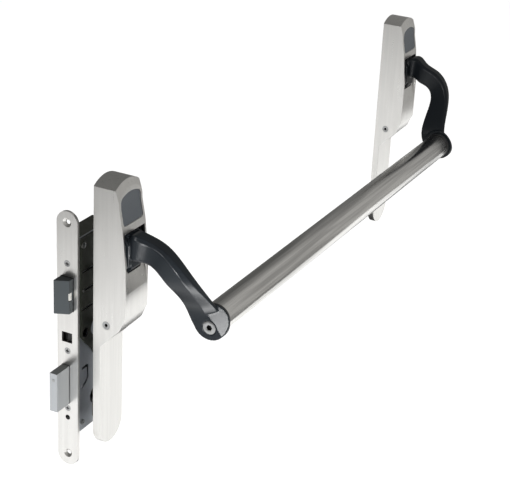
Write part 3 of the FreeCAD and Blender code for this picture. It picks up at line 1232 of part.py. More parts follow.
def make_follower():
    """The follower on the spindle, with its latch arm, its lower arm and pin."""
    lean = "(-half_turn_angle)"
    tip_x = polar("latch_arm", lean, "x")
    tip_z = polar("latch_arm", lean, "z")
    hub = rod("follower_hub_solid", "Y", "0", "0", "follower_hub", "room_front + hub_end_play",
              "room_back - hub_end_play")
    journal = rod("follower_journal", "Y", "0", "0", "trunnion", "case_front + running_play",
                  "case_back - running_play")
    tip = rod("follower_tip", "Y", tip_x, tip_z, "arm_tip", "near_layer", "far_layer")
    top_web = prism("follower_top_web", "XZ", [
        leaning("-web_half", "trunnion", lean),
        leaning("-web_half", "latch_arm", lean),
        leaning("web_half", "latch_arm", lean),
        leaning("web_half", "trunnion", lean),
    ], "near_layer", "far_layer")
    eye = rod("follower_low_eye", "Y", "low_pin_x", "low_pin_z", "crank_pin + crank_eye", "second_near",
              "second_far")
    low_web = prism("follower_low_web", "XZ", [
        leaning("-low_web_half", "-trunnion * 0.8", lean),
        leaning("-low_web_half", "-bolt_arm", lean),
        leaning("low_web_half", "-bolt_arm", lean),
        leaning("low_web_half", "-trunnion * 0.8", lean),
    ], "second_near", "second_far")
    bore = rod("follower_pin_bore", "Y", "low_pin_x", "low_pin_z", "crank_pin + press_play", "0",
               "second_far")
    solid = join("follower_solid", hub, journal, tip, top_web, eye, low_web)
    node("follower", cut("follower", solid, bore,
                         square("follower_square", "spindle_square + square_play", "0", "40")))
    node("follower_pin", rod("follower_pin", "Y", "low_pin_x", "low_pin_z", "crank_pin",
                             "near_layer + slot_play", "second_far"))


def make_latch():
    """Latch head, its roller and its tail."""
    head = prism("latch_head", "XY", [
        ("latch_face", "latch_near + latch_bevel"),
        ("latch_face", "latch_far"),
        ("-latch_rear", "latch_far"),
        ("-latch_rear", "latch_near"),
        ("latch_face + latch_bevel_long", "latch_near"),
    ], "latch_foot", "latch_top")
    low = "roller_foot - roller_play"
    high = "roller_top + roller_play"
    pocket = rod("latch_roller_pocket", "Z", "roller_x", "roller_y", "roller_radius + roller_play", low, high)
    side = "roller_radius - roller_play"
    mouth = box("latch_pocket_mouth", "roller_x - " + side, "roller_x + " + side, "latch_near - 1",
                "roller_y", low, high)
    foot = "latch_foot + axle_inset"
    top = "latch_top - axle_inset"
    axle_way = rod("latch_axle_way", "Z", "roller_x", "roller_y", "axle_radius + press_play", foot, top)
    node("latch_bolt", cut("latch_bolt", head, pocket, mouth, axle_way))
    roller = rod("latch_roller_solid", "Z", "roller_x", "roller_y", "roller_radius", "roller_foot",
                 "roller_top")
    bore = rod("latch_roller_bore", "Z", "roller_x", "roller_y", "axle_radius + running_play", foot, top)
    node("latch_roller", cut("latch_roller", roller, bore))
    node("latch_roller_axle", rod("latch_roller_axle", "Z", "roller_x", "roller_y", "axle_radius", foot, top))
    contact = "-latch_arm * sin(half_turn_angle) + arm_tip + contact_gap"
    far = "second_near + tail_thick"
    tail = box("latch_tail_bar", "-latch_rear", "tail_end", "second_near", far, "tail_foot", "latch_tail_top")
    lug = box("latch_tail_lug", contact, "tail_end", "near_layer", far, "lug_foot", "latch_tail_top")
    node("latch_tail", join("latch_tail", tail, lug))


def make_trigger():
    """The black trigger bolt behind its window."""
    head = prism("trigger_head", "XY", [
        ("trigger_face", "trigger_mid"),
        ("trigger_face + trigger_nose", "trigger_far"),
        ("trigger_rear", "trigger_far"),
        ("trigger_rear", "trigger_near"),
        ("trigger_face + trigger_nose", "trigger_near"),
    ], "trigger_foot", "trigger_top")
    bore = rod("trigger_bore", "X", "trigger_mid", "trigger_axis", "guide_radius + guide_play",
               "trigger_rear - guide_bore", "trigger_rear + 1")
    node("trigger_bolt", cut("trigger_bolt", head, bore))
    # The guide stands on a bracket on the case's far sheet.
    guide = rod("trigger_guide_rod", "X", "trigger_mid", "trigger_axis", "guide_radius",
                "trigger_rear - guide_entry", "trigger_rear + guide_stand + 1")
    bracket = box("trigger_guide_foot", "trigger_rear + guide_stand",
                  "trigger_rear + guide_stand + case_sheet", "trigger_mid - guide_foot_half", "room_back",
                  "trigger_axis - guide_foot_half", "trigger_axis + guide_foot_half")
    node("trigger_guide", join("trigger_guide", guide, bracket))


def make_deadbolt():
    """Deadbolt head, hardened pin, tail, and the lever that draws it back."""
    mid = "forend_mid + dead_offset"
    height = "dead_top - dead_pin_drop"
    head = box("deadbolt_head", "dead_face", "-dead_rear", "dead_near", "dead_far", "dead_foot", "dead_top")
    pin_way = rod("deadbolt_pin_way", "X", mid, height, "dead_pin + press_play", "dead_face - 1",
                  "dead_face + dead_pin_long")
    node("deadbolt", cut("deadbolt", head, pin_way))
    node("deadbolt_pin", rod("deadbolt_pin", "X", mid, height, "dead_pin", "dead_face",
                             "dead_face + dead_pin_long"))
    tail = box("deadbolt_tail_bar", "-dead_rear", "-dead_tail_end", "dead_near", "dead_far",
               "dead_tail_foot", "dead_tail_top")
    tip_x = "(-rocker_arm * sin(rocker_rest))"
    tip_z = "(rocker_height - rocker_arm * cos(rocker_rest))"
    lug_foot = "dead_tail_foot + dead_lug_rise"
    lug = box("deadbolt_tail_lug", tip_x + " - dead_lug_half", tip_x + " + dead_lug_half", "near_layer",
              "dead_near + 1", lug_foot, lug_foot + " + dead_lug_tall")
    slot = box("deadbolt_tail_slot", tip_x + " - rocker_tip - slot_play", tip_x + " + rocker_tip + slot_play",
               "0", "dead_near - slot_play", lug_foot + " - 1", lug_foot + " + dead_lug_tall + 1")
    node("deadbolt_tail", cut("deadbolt_tail", join("deadbolt_tail_solid", tail, lug), slot))

    hub = rod("rocker_hub_solid", "Y", "0", "rocker_height", "rocker_hub", "near_layer", "far_layer")
    tip = rod("rocker_tip_end", "Y", tip_x, tip_z, "rocker_tip", "near_layer", "far_layer")

    def strip(name, low_half, high_half, start, stop, near, far):
        corners = []
        for aside, along in (("-(%s)" % low_half, start), ("-(%s)" % high_half, stop),
                             ("(%s)" % high_half, stop), ("(%s)" % low_half, start)):
            across, up = leaning(aside, along, "rocker_rest")
            corners.append((across, "rocker_height + " + up))
        return prism(name, "XZ", corners, near, far)

    lower = strip("rocker_lower", "rocker_tip_half", "rocker_root_half", "-rocker_arm", "0", "near_layer",
                  "far_layer")
    upper = strip("rocker_upper", "fork_half", "fork_half", "0", "fork_top", "near_layer", "far_layer")
    mouth = strip("rocker_mouth", "crank_pin + slot_play", "crank_pin + slot_play", "fork_root",
                  "fork_top + 2", "0", "case_back")
    bore = rod("rocker_bore", "Y", "0", "rocker_height", "rocker_pin + running_play", "0", "case_back")
    node("deadbolt_lever", cut("deadbolt_lever", join("rocker_solid", hub, tip, lower, upper), mouth, bore))
    node("lever_pivot_pin", rod("lever_pivot_pin", "Y", "0", "rocker_height", "rocker_pin", "room_front",
                                "room_back"))


for side, centre, centre_value, driven in (
        ("lock_side", "0", 0.0, True),
        ("hinge_side", "housing_pitch", val("housing_pitch"), False)):
    make_cover(side, centre)
    make_cover_screws(side, centre)
    make_chassis(side, centre, driven)
    make_slider(side, centre, driven)
    make_spring(side, centre_value)
make_bar()
make_drive()
make_forend()
make_case()
make_follower()
make_latch()
make_trigger()
make_deadbolt()

doc.recompute()

for thing in doc.Objects:
    if "Invalid" in thing.State or "Error" in thing.State:
        raise RuntimeError("not built: " + thing.Name)

os.makedirs("parts", exist_ok=True)
for thing in NODES:
    shape = thing.Shape
    if shape.isNull() or not shape.isValid() or not shape.Solids:
        raise RuntimeError("bad shape: " + thing.Label)
    print("%-26s solids %d  volume %.0f" % (thing.Label, len(shape.Solids), shape.Volume))
    shape.exportStep("parts/%s.step" % thing.Label)
print("nodes: %d" % len(NODES))
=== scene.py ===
import json
import math
from typing import NamedTuple

import bmesh
import bpy
from bpy.props import FloatProperty, IntProperty, PointerProperty, StringProperty
from mathutils import Matrix, Vector


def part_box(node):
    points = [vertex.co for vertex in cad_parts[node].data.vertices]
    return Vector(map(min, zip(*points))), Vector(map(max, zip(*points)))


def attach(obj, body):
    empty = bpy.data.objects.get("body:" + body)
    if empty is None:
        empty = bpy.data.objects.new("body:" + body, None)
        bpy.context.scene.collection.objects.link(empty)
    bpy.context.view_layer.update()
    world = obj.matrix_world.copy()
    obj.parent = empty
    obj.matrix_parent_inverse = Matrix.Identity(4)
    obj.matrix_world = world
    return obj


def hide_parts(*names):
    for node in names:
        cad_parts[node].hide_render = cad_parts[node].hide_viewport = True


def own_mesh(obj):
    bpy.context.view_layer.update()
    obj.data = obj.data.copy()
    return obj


bl_info = {
    "name": "Panic bar with mortise lock",
    "version": (1, 0, 0),
    "blender": (4, 5, 0),
    "location": "3D View > Sidebar > Panic bar",
    "description": "Dresses the built push bar exit device and sets it in a plain studio",
    "category": "Object",
}

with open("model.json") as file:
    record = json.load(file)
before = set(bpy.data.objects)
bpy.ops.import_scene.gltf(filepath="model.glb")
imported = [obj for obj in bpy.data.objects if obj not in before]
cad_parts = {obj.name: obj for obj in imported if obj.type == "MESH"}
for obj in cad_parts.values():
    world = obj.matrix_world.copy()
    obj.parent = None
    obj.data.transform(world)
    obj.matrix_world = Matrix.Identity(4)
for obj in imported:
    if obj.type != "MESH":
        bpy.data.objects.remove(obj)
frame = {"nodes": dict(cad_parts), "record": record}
NODES = frame["nodes"]
SLOTS = {entry["node"]: entry["material_slot"] for entry in frame["record"]["subparts"]}
BODY_OF = {name: body for body, names in frame["record"]["behaviour"]["bodies"].items() for name in names}

MM = 0.001
MERGE_REACH = 0.002 * MM  # points of a mesh that are closer than this are one
FLAT_TURN = math.radians(0.4)  # neighbouring faces that turn less than this are one flat face

# The two housings, each with its middle along X.
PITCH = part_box("hinge_side_cover")[1].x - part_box("lock_side_cover")[1].x
HOUSINGS = {"lock_side": 0.0, "hinge_side": PITCH}

# Heights and widths that tell a cover's edges apart.
COVER_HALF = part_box("lock_side_cover")[1].x
CROWN_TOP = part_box("lock_side_cover")[1].z
PANEL_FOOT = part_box("lock_side_panel")[0].z
OUTLINE_FOOT = PANEL_FOOT + 1.85 * MM  # above this height the cover's outline is the crown
WINDOW_FOOT = -50 * MM  # below this height only the tongue is left
CROWN_BAND = 8.5 * MM  # the panel's seat lies further inside the crown than this
DOOR_BAND = 0.5 * MM  # edges this near the door stay sharp
SIDE_SLACK = 0.02 * MM

SOCKET_SCREWS = ("lock_side_cover_screws", "hinge_side_cover_screws", "arm_screws")
OTHER_SCREWS = ("forend_fixing_screws", "case_screws", "upper_plate_rivet", "deadbolt_pin", "latch_roller")
SOCKET_DEPTH = 0.2 * MM  # faces that lie deeper than this belong to a socket


class PanicBarSizes(bpy.types.PropertyGroup):
    """Edge radii and finish sizes."""

    crown_rise: FloatProperty(
        name="Crown rise", description="Rise of the cap's arched top over its shoulders",
        default=6 * MM, unit="LENGTH")
    cover_edge: FloatProperty(
        name="Cover edge", description="Radius of the corners along the cover's outline",
        default=1.1 * MM, unit="LENGTH")
    rim_edge: FloatProperty(
        name="Rim edge", description="Bevel round the window and the panel's seat",
        default=0.45 * MM, unit="LENGTH")
    panel_edge: FloatProperty(
        name="Panel edge", description="Radius of the inset panel's rim",
        default=0.3 * MM, unit="LENGTH")
    casting_grid: FloatProperty(
        name="Casting grid", description="Mesh step of the cast arms",
        default=0.5 * MM, unit="LENGTH")
    casting_softening: IntProperty(
        name="Casting softening", description="How often the cast surface is evened out",
        default=12, min=0)
    tube_edge: FloatProperty(
        name="Tube edge", description="Broken edge at the ends of the tube",
        default=0.4 * MM, unit="LENGTH")
    tube_wall: FloatProperty(
        name="Tube wall", description="Wall of the tube as shown, just off the plugs inside",
        default=1.45 * MM, unit="LENGTH")
    collar_edge: FloatProperty(
        name="Collar edge", description="Broken edge of the collars",
        default=0.3 * MM, unit="LENGTH")
    collar_wall: FloatProperty(
        name="Collar wall", description="Wall of the collars",
        default=1.75 * MM, unit="LENGTH")
    plate_edge: FloatProperty(
        name="Plate edge", description="Broken edge of forend and case plates",
        default=0.35 * MM, unit="LENGTH")
    bolt_edge: FloatProperty(
        name="Bolt edge", description="Broken edge of latch, trigger and deadbolt",
        default=0.4 * MM, unit="LENGTH")
    screw_edge: FloatProperty(
        name="Screw edge", description="Broken edge of screws and rivets",
        default=0.15 * MM, unit="LENGTH")
    socket_share: FloatProperty(
        name="Socket share", description="Reach of a hexagon socket as a share of the screw head's radius",
        default=0.66, min=0)
    streak_width: FloatProperty(
        name="Streak width", description="Width of the dark streaks in brushed steel",
        default=4 * MM, unit="LENGTH")
    grain_width: FloatProperty(
        name="Grain width", description="Width of the brushed lines as drawn",
        default=0.9 * MM, unit="LENGTH")
    grain_length: FloatProperty(
        name="Grain length", description="Length of the brushed lines as drawn",
        default=45 * MM, unit="LENGTH")
    floor_drop: FloatProperty(
        name="Floor drop", description="Floor below the spindle axis",
        default=0.40, unit="LENGTH")


class PanicBarColours(bpy.types.PropertyGroup):
    """Colours as sRGB hex values."""

    stainless: StringProperty(name="Stainless", description="Satin stainless steel", default="#e4e3e0")
    casting: StringProperty(name="Casting", description="Black powder coat", default="#0f1215")
    panel: StringProperty(name="Panel", description="Dark grey moulded panel", default="#4c5156")
    zinc: StringProperty(name="Zinc", description="Zinc-plated sheet steel", default="#b9bcc0")
    dark_plate: StringProperty(name="Dark plate", description="Phosphated sheet steel", default="#595b53")
    latch: StringProperty(name="Latch", description="Dark nickel plate", default="#5d6265")
    bolt: StringProperty(name="Bolt", description="Bright nickel plate", default="#b4b7ba")
    screw: StringProperty(name="Screw", description="Stainless screws", default="#a9aaaa")
    # Painted shade: the sockets' floors are coloured dark grey for the shade inside the recess, not for oil.
    socket: StringProperty(name="Socket", description="Oily floor of the sockets", default="#2b2b2c")
    spring: StringProperty(name="Spring", description="Drawn spring wire", default="#8b8d8f")
    bronze: StringProperty(name="Bronze", description="Sintered bronze", default="#a2783f")
    nylon: StringProperty(name="Nylon", description="Natural nylon", default="#f0efe9")
    plastic: StringProperty(name="Plastic", description="Black acetal", default="#1b1c1d")
    paper: StringProperty(name="Paper", description="Studio floor", default="#f4f4f3")
    white_card: StringProperty(name="White card", description="For the covers' sides", default="#ffffff")
    grey_card: StringProperty(name="Grey card", description="For the covers' fronts", default="#8c8c8a")
    dark_card: StringProperty(name="Dark card", description="For the covers' corners", default="#2c2c2c")
    edge_card: StringProperty(name="Edge card", description="For the tube's lower edge", default="#3c3d3d")
    tent_front: StringProperty(name="Tent front", description="Tent on the viewer's side", default="#aeadab")
    tent_back: StringProperty(name="Tent back", description="Tent behind the bar", default="#6c6c6b")


def sizes():
    return bpy.context.scene.panic_bar_sizes


def colours():
    return bpy.context.scene.panic_bar_colours


def linear(colour):
    """An sRGB hex value as linear RGBA."""
    channels = []
    for start in (1, 3, 5):
        part = int(colour[start:start + 2], 16) / 255
        channels.append(part / 12.92 if part <= 0.04045 else ((part + 0.055) / 1.055) ** 2.4)
    return (*channels, 1.0)


def add_node(tree, kind, inputs=None, **settings):
    """Adds a node. An input given as a socket is linked, any other value is set."""
    made = tree.nodes.new(kind)
    for key, value in settings.items():
        setattr(made, key, value)
    for key, value in (inputs or {}).items():
        if isinstance(value, bpy.types.NodeSocket):
            tree.links.new(value, made.inputs[key])
        else:
            made.inputs[key].default_value = value
    return made


def start_material(name):
    """An empty material, its node tree and the object's own coordinates."""
    material = bpy.data.materials.new(name)
    material.use_nodes = True
    tree = material.node_tree
    tree.nodes.clear()
    place = add_node(tree, "ShaderNodeTexCoord").outputs["Object"]
    return material, tree, place


def end_material(material, shader):
    """Puts a shader on the surface."""
    add_node(material.node_tree, "ShaderNodeOutputMaterial", {"Surface": shader.outputs[0]})
    return material


# Most values of a noise lie between these.
NOISE_SPAN = {"From Min": 0.3, "From Max": 0.7}


class Grinding(NamedTuple):
    """The roughness of the smoothest ground lines and the shade of the darkest streaks."""

    smoothest: float
    darkest: float


# The tube is ground along X and the sheet metal along Z.
GRINDING = {"X": Grinding(smoothest=0.15, darkest=0.7), "Z": Grinding(smoothest=0.27, darkest=0.95)}


def brushed_stainless(along):
    """Satin stainless steel, belt-ground along one axis.

    The grinding leaves fine lines that stretch highlights across them. Real lines are about 0.05 mm
    wide, too fine to show here, so they are drawn wider. Broader and longer streaks, where the belt
    cut deeper, look darker.
    """
    material, tree, place = start_material("brushed_stainless_along_" + along.lower())
    width = 1 / sizes().grain_width
    broad = 1 / sizes().streak_width
    length = 1 / sizes().grain_length
    smoothest, darkest = GRINDING[along]
    lines = add_node(tree, "ShaderNodeMapping", {
        "Vector": place, "Scale": [length if axis == along else width for axis in "XYZ"]})
    grain = add_node(tree, "ShaderNodeTexNoise", {
        "Vector": lines.outputs["Vector"], "Scale": 1.0, "Detail": 3.0, "Roughness": 0.6})
    shine = add_node(tree, "ShaderNodeMapRange", {
        "Value": grain.outputs["Fac"], **NOISE_SPAN, "To Min": smoothest, "To Max": smoothest + 0.1})
    relief = add_node(tree, "ShaderNodeBump", {
        "Height": grain.outputs["Fac"], "Strength": 0.12, "Distance": 0.05 * MM})
    bands = add_node(tree, "ShaderNodeMapping", {
        "Vector": place, "Scale": [length / 3 if axis == along else broad for axis in "XYZ"]})
    streaks = add_node(tree, "ShaderNodeTexNoise", {
        "Vector": bands.outputs["Vector"], "Scale": 1.0, "Detail": 2.0})
    shade = add_node(tree, "ShaderNodeMapRange", {
        "Value": streaks.outputs["Fac"], "From Min": 0.35, "From Max": 0.6,
        "To Min": darkest, "To Max": 1.0})
    tint = add_node(tree, "ShaderNodeMix", {
        0: shade.outputs["Result"], 6: (0, 0, 0, 1), 7: linear(colours().stainless)}, data_type="RGBA")
    return end_material(material, add_node(tree, "ShaderNodeBsdfPrincipled", {
        "Base Color": tint.outputs[2], "Metallic": 1.0,
        "Roughness": shine.outputs["Result"], "Normal": relief.outputs["Normal"]}))


def black_powder_coat():
    """Cast aluminium with black powder coat.

    The coat is a thick polyester film: nearly black, softly glossy, with a very faint orange peel of
    about 1.5 mm.
    """
    material, tree, place = start_material("black_powder_coat")
    peel = add_node(tree, "ShaderNodeTexNoise", {"Vector": place, "Scale": 1 / (1.5 * MM), "Detail": 1.0})
    relief = add_node(tree, "ShaderNodeBump", {
        "Height": peel.outputs["Fac"], "Strength": 0.15, "Distance": 0.03 * MM})
    return end_material(material, add_node(tree, "ShaderNodeBsdfPrincipled", {
        "Base Color": linear(colours().casting), "Metallic": 0.0, "Roughness": 0.3,
        "Specular IOR Level": 0.16, "IOR": 1.5, "Normal": relief.outputs["Normal"]}))


def moulded_panel():
    """Dark grey ABS panel, moulded in a finely spark-eroded tool.

    The texture, drawn at 0.4 mm, breaks the reflections up, so the face looks even and dull.
    """
    material, tree, place = start_material("moulded_abs_panel")
    texture = add_node(tree, "ShaderNodeTexNoise", {
        "Vector": place, "Scale": 1 / (0.4 * MM), "Detail": 2.0})
    relief = add_node(tree, "ShaderNodeBump", {
        "Height": texture.outputs["Fac"], "Strength": 0.25, "Distance": 0.02 * MM})
    return end_material(material, add_node(tree, "ShaderNodeBsdfPrincipled", {
        "Base Color": linear(colours().panel), "Roughness": 0.45, "IOR": 1.54,
        "Normal": relief.outputs["Normal"]}))


def plated_sheet(name, colour, roughness, spread):
    """Cold-rolled sheet steel, zinc plated or phosphated.

    Plating follows the rolled surface, so the shine wanders in soft clouds of about 8 mm and there is
    no direction in it.
    """
    material, tree, place = start_material(name)
    clouds = add_node(tree, "ShaderNodeTexNoise", {"Vector": place, "Scale": 1 / (8 * MM), "Detail": 4.0})
    shine = add_node(tree, "ShaderNodeMapRange", {
        "Value": clouds.outputs["Fac"], **NOISE_SPAN,
        "To Min": roughness - spread, "To Max": roughness + spread})
    return end_material(material, add_node(tree, "ShaderNodeBsdfPrincipled", {
        "Base Color": linear(colour), "Metallic": 1.0, "Roughness": shine.outputs["Result"]}))


def plated_bolt(name, colour, roughness):
    """Nickel-plated or bright turned steel.

    Grinding and turning leave faint marks, drawn at 0.6 mm, and the finish leaves them smooth, so
    highlights only waver a little.
    """
    material, tree, place = start_material(name)
    marks = add_node(tree, "ShaderNodeTexNoise", {"Vector": place, "Scale": 1 / (0.6 * MM), "Detail": 2.0})
    relief = add_node(tree, "ShaderNodeBump", {
        "Height": marks.outputs["Fac"], "Strength": 0.12, "Distance": 0.02 * MM})
    return end_material(material, add_node(tree, "ShaderNodeBsdfPrincipled", {
        "Base Color": linear(colour), "Metallic": 1.0, "Roughness": roughness,
        "Normal": relief.outputs["Normal"]}))


def sintered_bronze():
    """Oil-soaked sintered bronze.

    Pressed powder leaves pores, drawn at 0.5 mm, that make the surface matt and slightly speckled.
    """
    material, tree, place = start_material("sintered_bronze")
    pores = add_node(tree, "ShaderNodeTexVoronoi", {"Vector": place, "Scale": 1 / (0.5 * MM)})
    shine = add_node(tree, "ShaderNodeMapRange", {
        "Value": pores.outputs["Distance"], "From Min": 0.0, "From Max": 0.6,
        "To Min": 0.6, "To Max": 0.42})
    return end_material(material, add_node(tree, "ShaderNodeBsdfPrincipled", {
        "Base Color": linear(colours().bronze), "Metallic": 1.0, "Roughness": shine.outputs["Result"]}))


def moulded_plastic(name, colour, roughness):
    """Nylon or acetal, injection moulded.

    Small smooth mouldings: an even colour under a soft gloss, with a faint unevenness of about 3 mm.
    """
    material, tree, place = start_material(name)
    flow = add_node(tree, "ShaderNodeTexNoise", {"Vector": place, "Scale": 1 / (3 * MM), "Detail": 1.0})
    shine = add_node(tree, "ShaderNodeMapRange", {
        "Value": flow.outputs["Fac"], **NOISE_SPAN,
        "To Min": roughness - 0.04, "To Max": roughness + 0.04})
    return end_material(material, add_node(tree, "ShaderNodeBsdfPrincipled", {
        "Base Color": linear(colour), "Roughness": shine.outputs["Result"], "IOR": 1.5}))


def drawn_wire():
    """Hard-drawn spring steel wire.

    Drawing leaves it smooth and a little greasy, a darker grey than the plated sheet.
    """
    material, tree, place = start_material("drawn_spring_wire")
    film = add_node(tree, "ShaderNodeTexNoise", {"Vector": place, "Scale": 1 / (2 * MM), "Detail": 2.0})
    shine = add_node(tree, "ShaderNodeMapRange", {
        "Value": film.outputs["Fac"], **NOISE_SPAN, "To Min": 0.25, "To Max": 0.4})
    return end_material(material, add_node(tree, "ShaderNodeBsdfPrincipled", {
        "Base Color": linear(colours().spring), "Metallic": 1.0, "Roughness": shine.outputs["Result"]}))


MAKERS = {
    "black_casting": black_powder_coat,
    "grey_panel": moulded_panel,
    "zinc_steel": lambda: plated_sheet("zinc_plated_sheet", colours().zinc, roughness=0.38, spread=0.06),
    "dark_plate": lambda: plated_sheet("phosphated_sheet", colours().dark_plate, roughness=0.5, spread=0.08),
    "latch_steel": lambda: plated_bolt("dark_nickel_latch", colours().latch, roughness=0.34),
    "bolt_steel": lambda: plated_bolt("nickel_deadbolt", colours().bolt, roughness=0.3),
    "screw_steel": lambda: plated_bolt("turned_stainless_screw", colours().screw, roughness=0.3),
    # The socket material is painted shade: it makes the hexagon sockets' sunk faces dark.
    "socket": lambda: plated_bolt("oiled_socket", colours().socket, roughness=0.5),
    "spring_wire": drawn_wire,
    "bronze": sintered_bronze,
    "white_nylon": lambda: moulded_plastic("natural_nylon", colours().nylon, roughness=0.4),
    "black_plastic": lambda: moulded_plastic("black_acetal", colours().plastic, roughness=0.42),
}
FINISHES = {}


def finish(slot, along="Z"):
    """The material of a record slot, made once. Brushed steel also has a direction."""
    brushed = slot == "satin_stainless"
    key = slot + along if brushed else slot
    if key not in FINISHES:
        FINISHES[key] = brushed_stainless(along) if brushed else MAKERS[slot]()
    return FINISHES[key]


def merged_copy(node):
    """A node's mesh with its loose triangles joined and its flat faces made whole."""
    shape = bmesh.new()
    shape.from_mesh(NODES[node].data)
    bmesh.ops.remove_doubles(shape, verts=shape.verts, dist=MERGE_REACH)
    bmesh.ops.dissolve_limit(shape, angle_limit=FLAT_TURN, verts=shape.verts, edges=shape.edges)
    return shape


def sharp_outer(shape, least=28):
    """Edges that stand out, between faces that meet at an angle of at least so many degrees."""
    return [edge for edge in shape.edges
            if edge.is_manifold and edge.is_convex and edge.calc_face_angle() > math.radians(least)]


def round_over(shape, edges, radius, segments=2):
    """Rounds a set of edges."""
    bmesh.ops.bevel(shape, geom=edges, offset=radius, offset_type="OFFSET", segments=segments, profile=0.5,
                    affect="EDGES", clamp_overlap=True, material=-1)


def add_object(name, shape):
    """Makes an object of a finished shape."""
    mesh = bpy.data.meshes.new(name)
    shape.to_mesh(mesh)
    shape.free()
    made = bpy.data.objects.new(name, mesh)
    bpy.context.scene.collection.objects.link(made)
    return made


def place_piece(shape, name, node, along="Z", smooth=32):
    """Makes the object of a finished piece, which takes the place of a CAD node."""
    piece = add_object(name, shape)
    for face in piece.data.polygons:
        face.use_smooth = True
    piece.data.set_sharp_from_angle(angle=math.radians(smooth))
    piece.data.materials.append(finish(SLOTS[node], along))
    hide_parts(node)
    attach(piece, BODY_OF[node])
    return piece


def even_normals(piece):
    """Lets the large faces keep flat shading beside their rounded edges."""
    modifier = piece.modifiers.new("even_shading", "WEIGHTED_NORMAL")
    modifier.keep_sharp = True
    modifier.weight = 90


def break_edges(node, name, radius):
    """Puts a copy of a node with its outer corners rounded in the node's place."""
    shape = merged_copy(node)
    round_over(shape, sharp_outer(shape), radius)
    even_normals(place_piece(shape, name, node))


class PANICBAR_OT_covers(bpy.types.Operator):
    """Rounds the edges of both housing covers and brushes them from top to bottom"""

    bl_idname = "panicbar.covers"
    bl_label = "Housing covers"

    def execute(self, context):
        for side, middle in HOUSINGS.items():
            shape = merged_copy(side + "_cover")
            outline, rims = self.sort_edges(shape, middle)
            if not outline or not rims:
                raise RuntimeError("a cover's edges were not found")
            round_over(shape, rims, sizes().rim_edge)
            outline = [edge for edge in outline if edge.is_valid]
            round_over(shape, outline, sizes().cover_edge, segments=4)
            even_normals(place_piece(shape, side + "_brushed_cover", side + "_cover"))
        return {"FINISHED"}

    def sort_edges(self, shape, middle):
        """The cover's outline, and the rims of its window and of the panel's seat."""
        rise = sizes().crown_rise
        radius = (COVER_HALF ** 2 + rise ** 2) / (2 * rise)
        outline = []
        rims = []
        for edge in sharp_outer(shape):
            centre = (edge.verts[0].co + edge.verts[1].co) / 2
            if centre.y > -DOOR_BAND:
                continue
            aside = min(abs(vert.co.x - middle) for vert in edge.verts)
            from_crown_centre = math.hypot(centre.x - middle, centre.z - CROWN_TOP + radius)
            on_side = aside > COVER_HALF - SIDE_SLACK
            on_crown = centre.z > OUTLINE_FOOT and from_crown_centre > radius - CROWN_BAND
            if on_side or on_crown or centre.z < WINDOW_FOOT:
                outline.append(edge)
            else:
                rims.append(edge)
        return outline, rims


class PANICBAR_OT_panels(bpy.types.Operator):
    """Softens the rims of the two inset panels"""

    bl_idname = "panicbar.panels"
    bl_label = "Inset panels"

    def execute(self, context):
        for side in HOUSINGS:
            break_edges(side + "_panel", side + "_moulded_panel", sizes().panel_edge)
        return {"FINISHED"}


class PANICBAR_OT_arms(bpy.types.Operator):
    """Gives the cast arms their soft corners and fillets"""

    bl_idname = "panicbar.arms"
    bl_label = "Cast arms"

    def execute(self, context):
        coarser = 1
        for side in HOUSINGS:
            piece = place_piece(merged_copy(side + "_arm"), side + "_cast_arm", side + "_arm", smooth=80)
            even = piece.modifiers.new("casting_grid", "REMESH")
            even.mode = "VOXEL"
            even.voxel_size = sizes().casting_grid * coarser
            even.use_smooth_shade = True
            soft = piece.modifiers.new("casting_softening", "SMOOTH")
            soft.factor = 0.5
            soft.iterations = sizes().casting_softening
        return {"FINISHED"}


def turned_ring(node, name, axis_point, wall, edge, along="Z", steps=96):
    """Turns a ring round an axis along X, with broken outer edges, in a node's place."""
    low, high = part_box(node)
    outer = (high.z - low.z) / 2
    bore = outer - wall
    nick = 0.3 * edge
    outline = [(low.x, bore), (low.x, outer - edge), (low.x + nick, outer - nick), (low.x + edge, outer),
               (high.x - edge, outer), (high.x - nick, outer - nick), (high.x, outer - edge), (high.x, bore)]
    shape = bmesh.new()
    corners = [shape.verts.new((x, axis_point.y, axis_point.z + radius)) for x, radius in outline]
    edges = [shape.edges.new(ends) for ends in zip(corners, corners[1:] + corners[:1])]
    bmesh.ops.spin(shape, geom=corners + edges, cent=axis_point, axis=(1, 0, 0), angle=2 * math.pi,
                   steps=steps, use_merge=True)
    bmesh.ops.remove_doubles(shape, verts=shape.verts, dist=MERGE_REACH)
    bmesh.ops.recalc_face_normals(shape, faces=shape.faces)
    place_piece(shape, name, node, along)


class PANICBAR_OT_bar(bpy.types.Operator):
    """Turns the tube and its two collars with clean edges"""

    bl_idname = "panicbar.bar"
    bl_label = "Bar and collars"

    def execute(self, context):
        low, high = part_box("bar_tube")
        middle = (low + high) / 2
        turned_ring("bar_tube", "brushed_tube", middle, sizes().tube_wall, sizes().tube_edge, "X")
        for side in HOUSINGS:
            turned_ring(side + "_bar_collar", side + "_turned_collar", middle,
                        sizes().collar_wall, sizes().collar_edge)
        return {"FINISHED"}


class PANICBAR_OT_forend(bpy.types.Operator):
    """Breaks the edges of the forend and of the case's plates"""

    bl_idname = "panicbar.forend"
    bl_label = "Forend and case"

    def execute(self, context):
        for node in ("forend", "lock_case", "case_plate", "upper_case_plate"):
            break_edges(node, "finished_" + node, sizes().plate_edge)
        return {"FINISHED"}


class PANICBAR_OT_bolts(bpy.types.Operator):
    """Breaks the edges of latch, trigger and deadbolt"""

    bl_idname = "panicbar.bolts"
    bl_label = "Latch, trigger and deadbolt"

    def execute(self, context):
        for node in ("latch_bolt", "trigger_bolt", "deadbolt"):
            break_edges(node, "finished_" + node, sizes().bolt_edge)
        return {"FINISHED"}


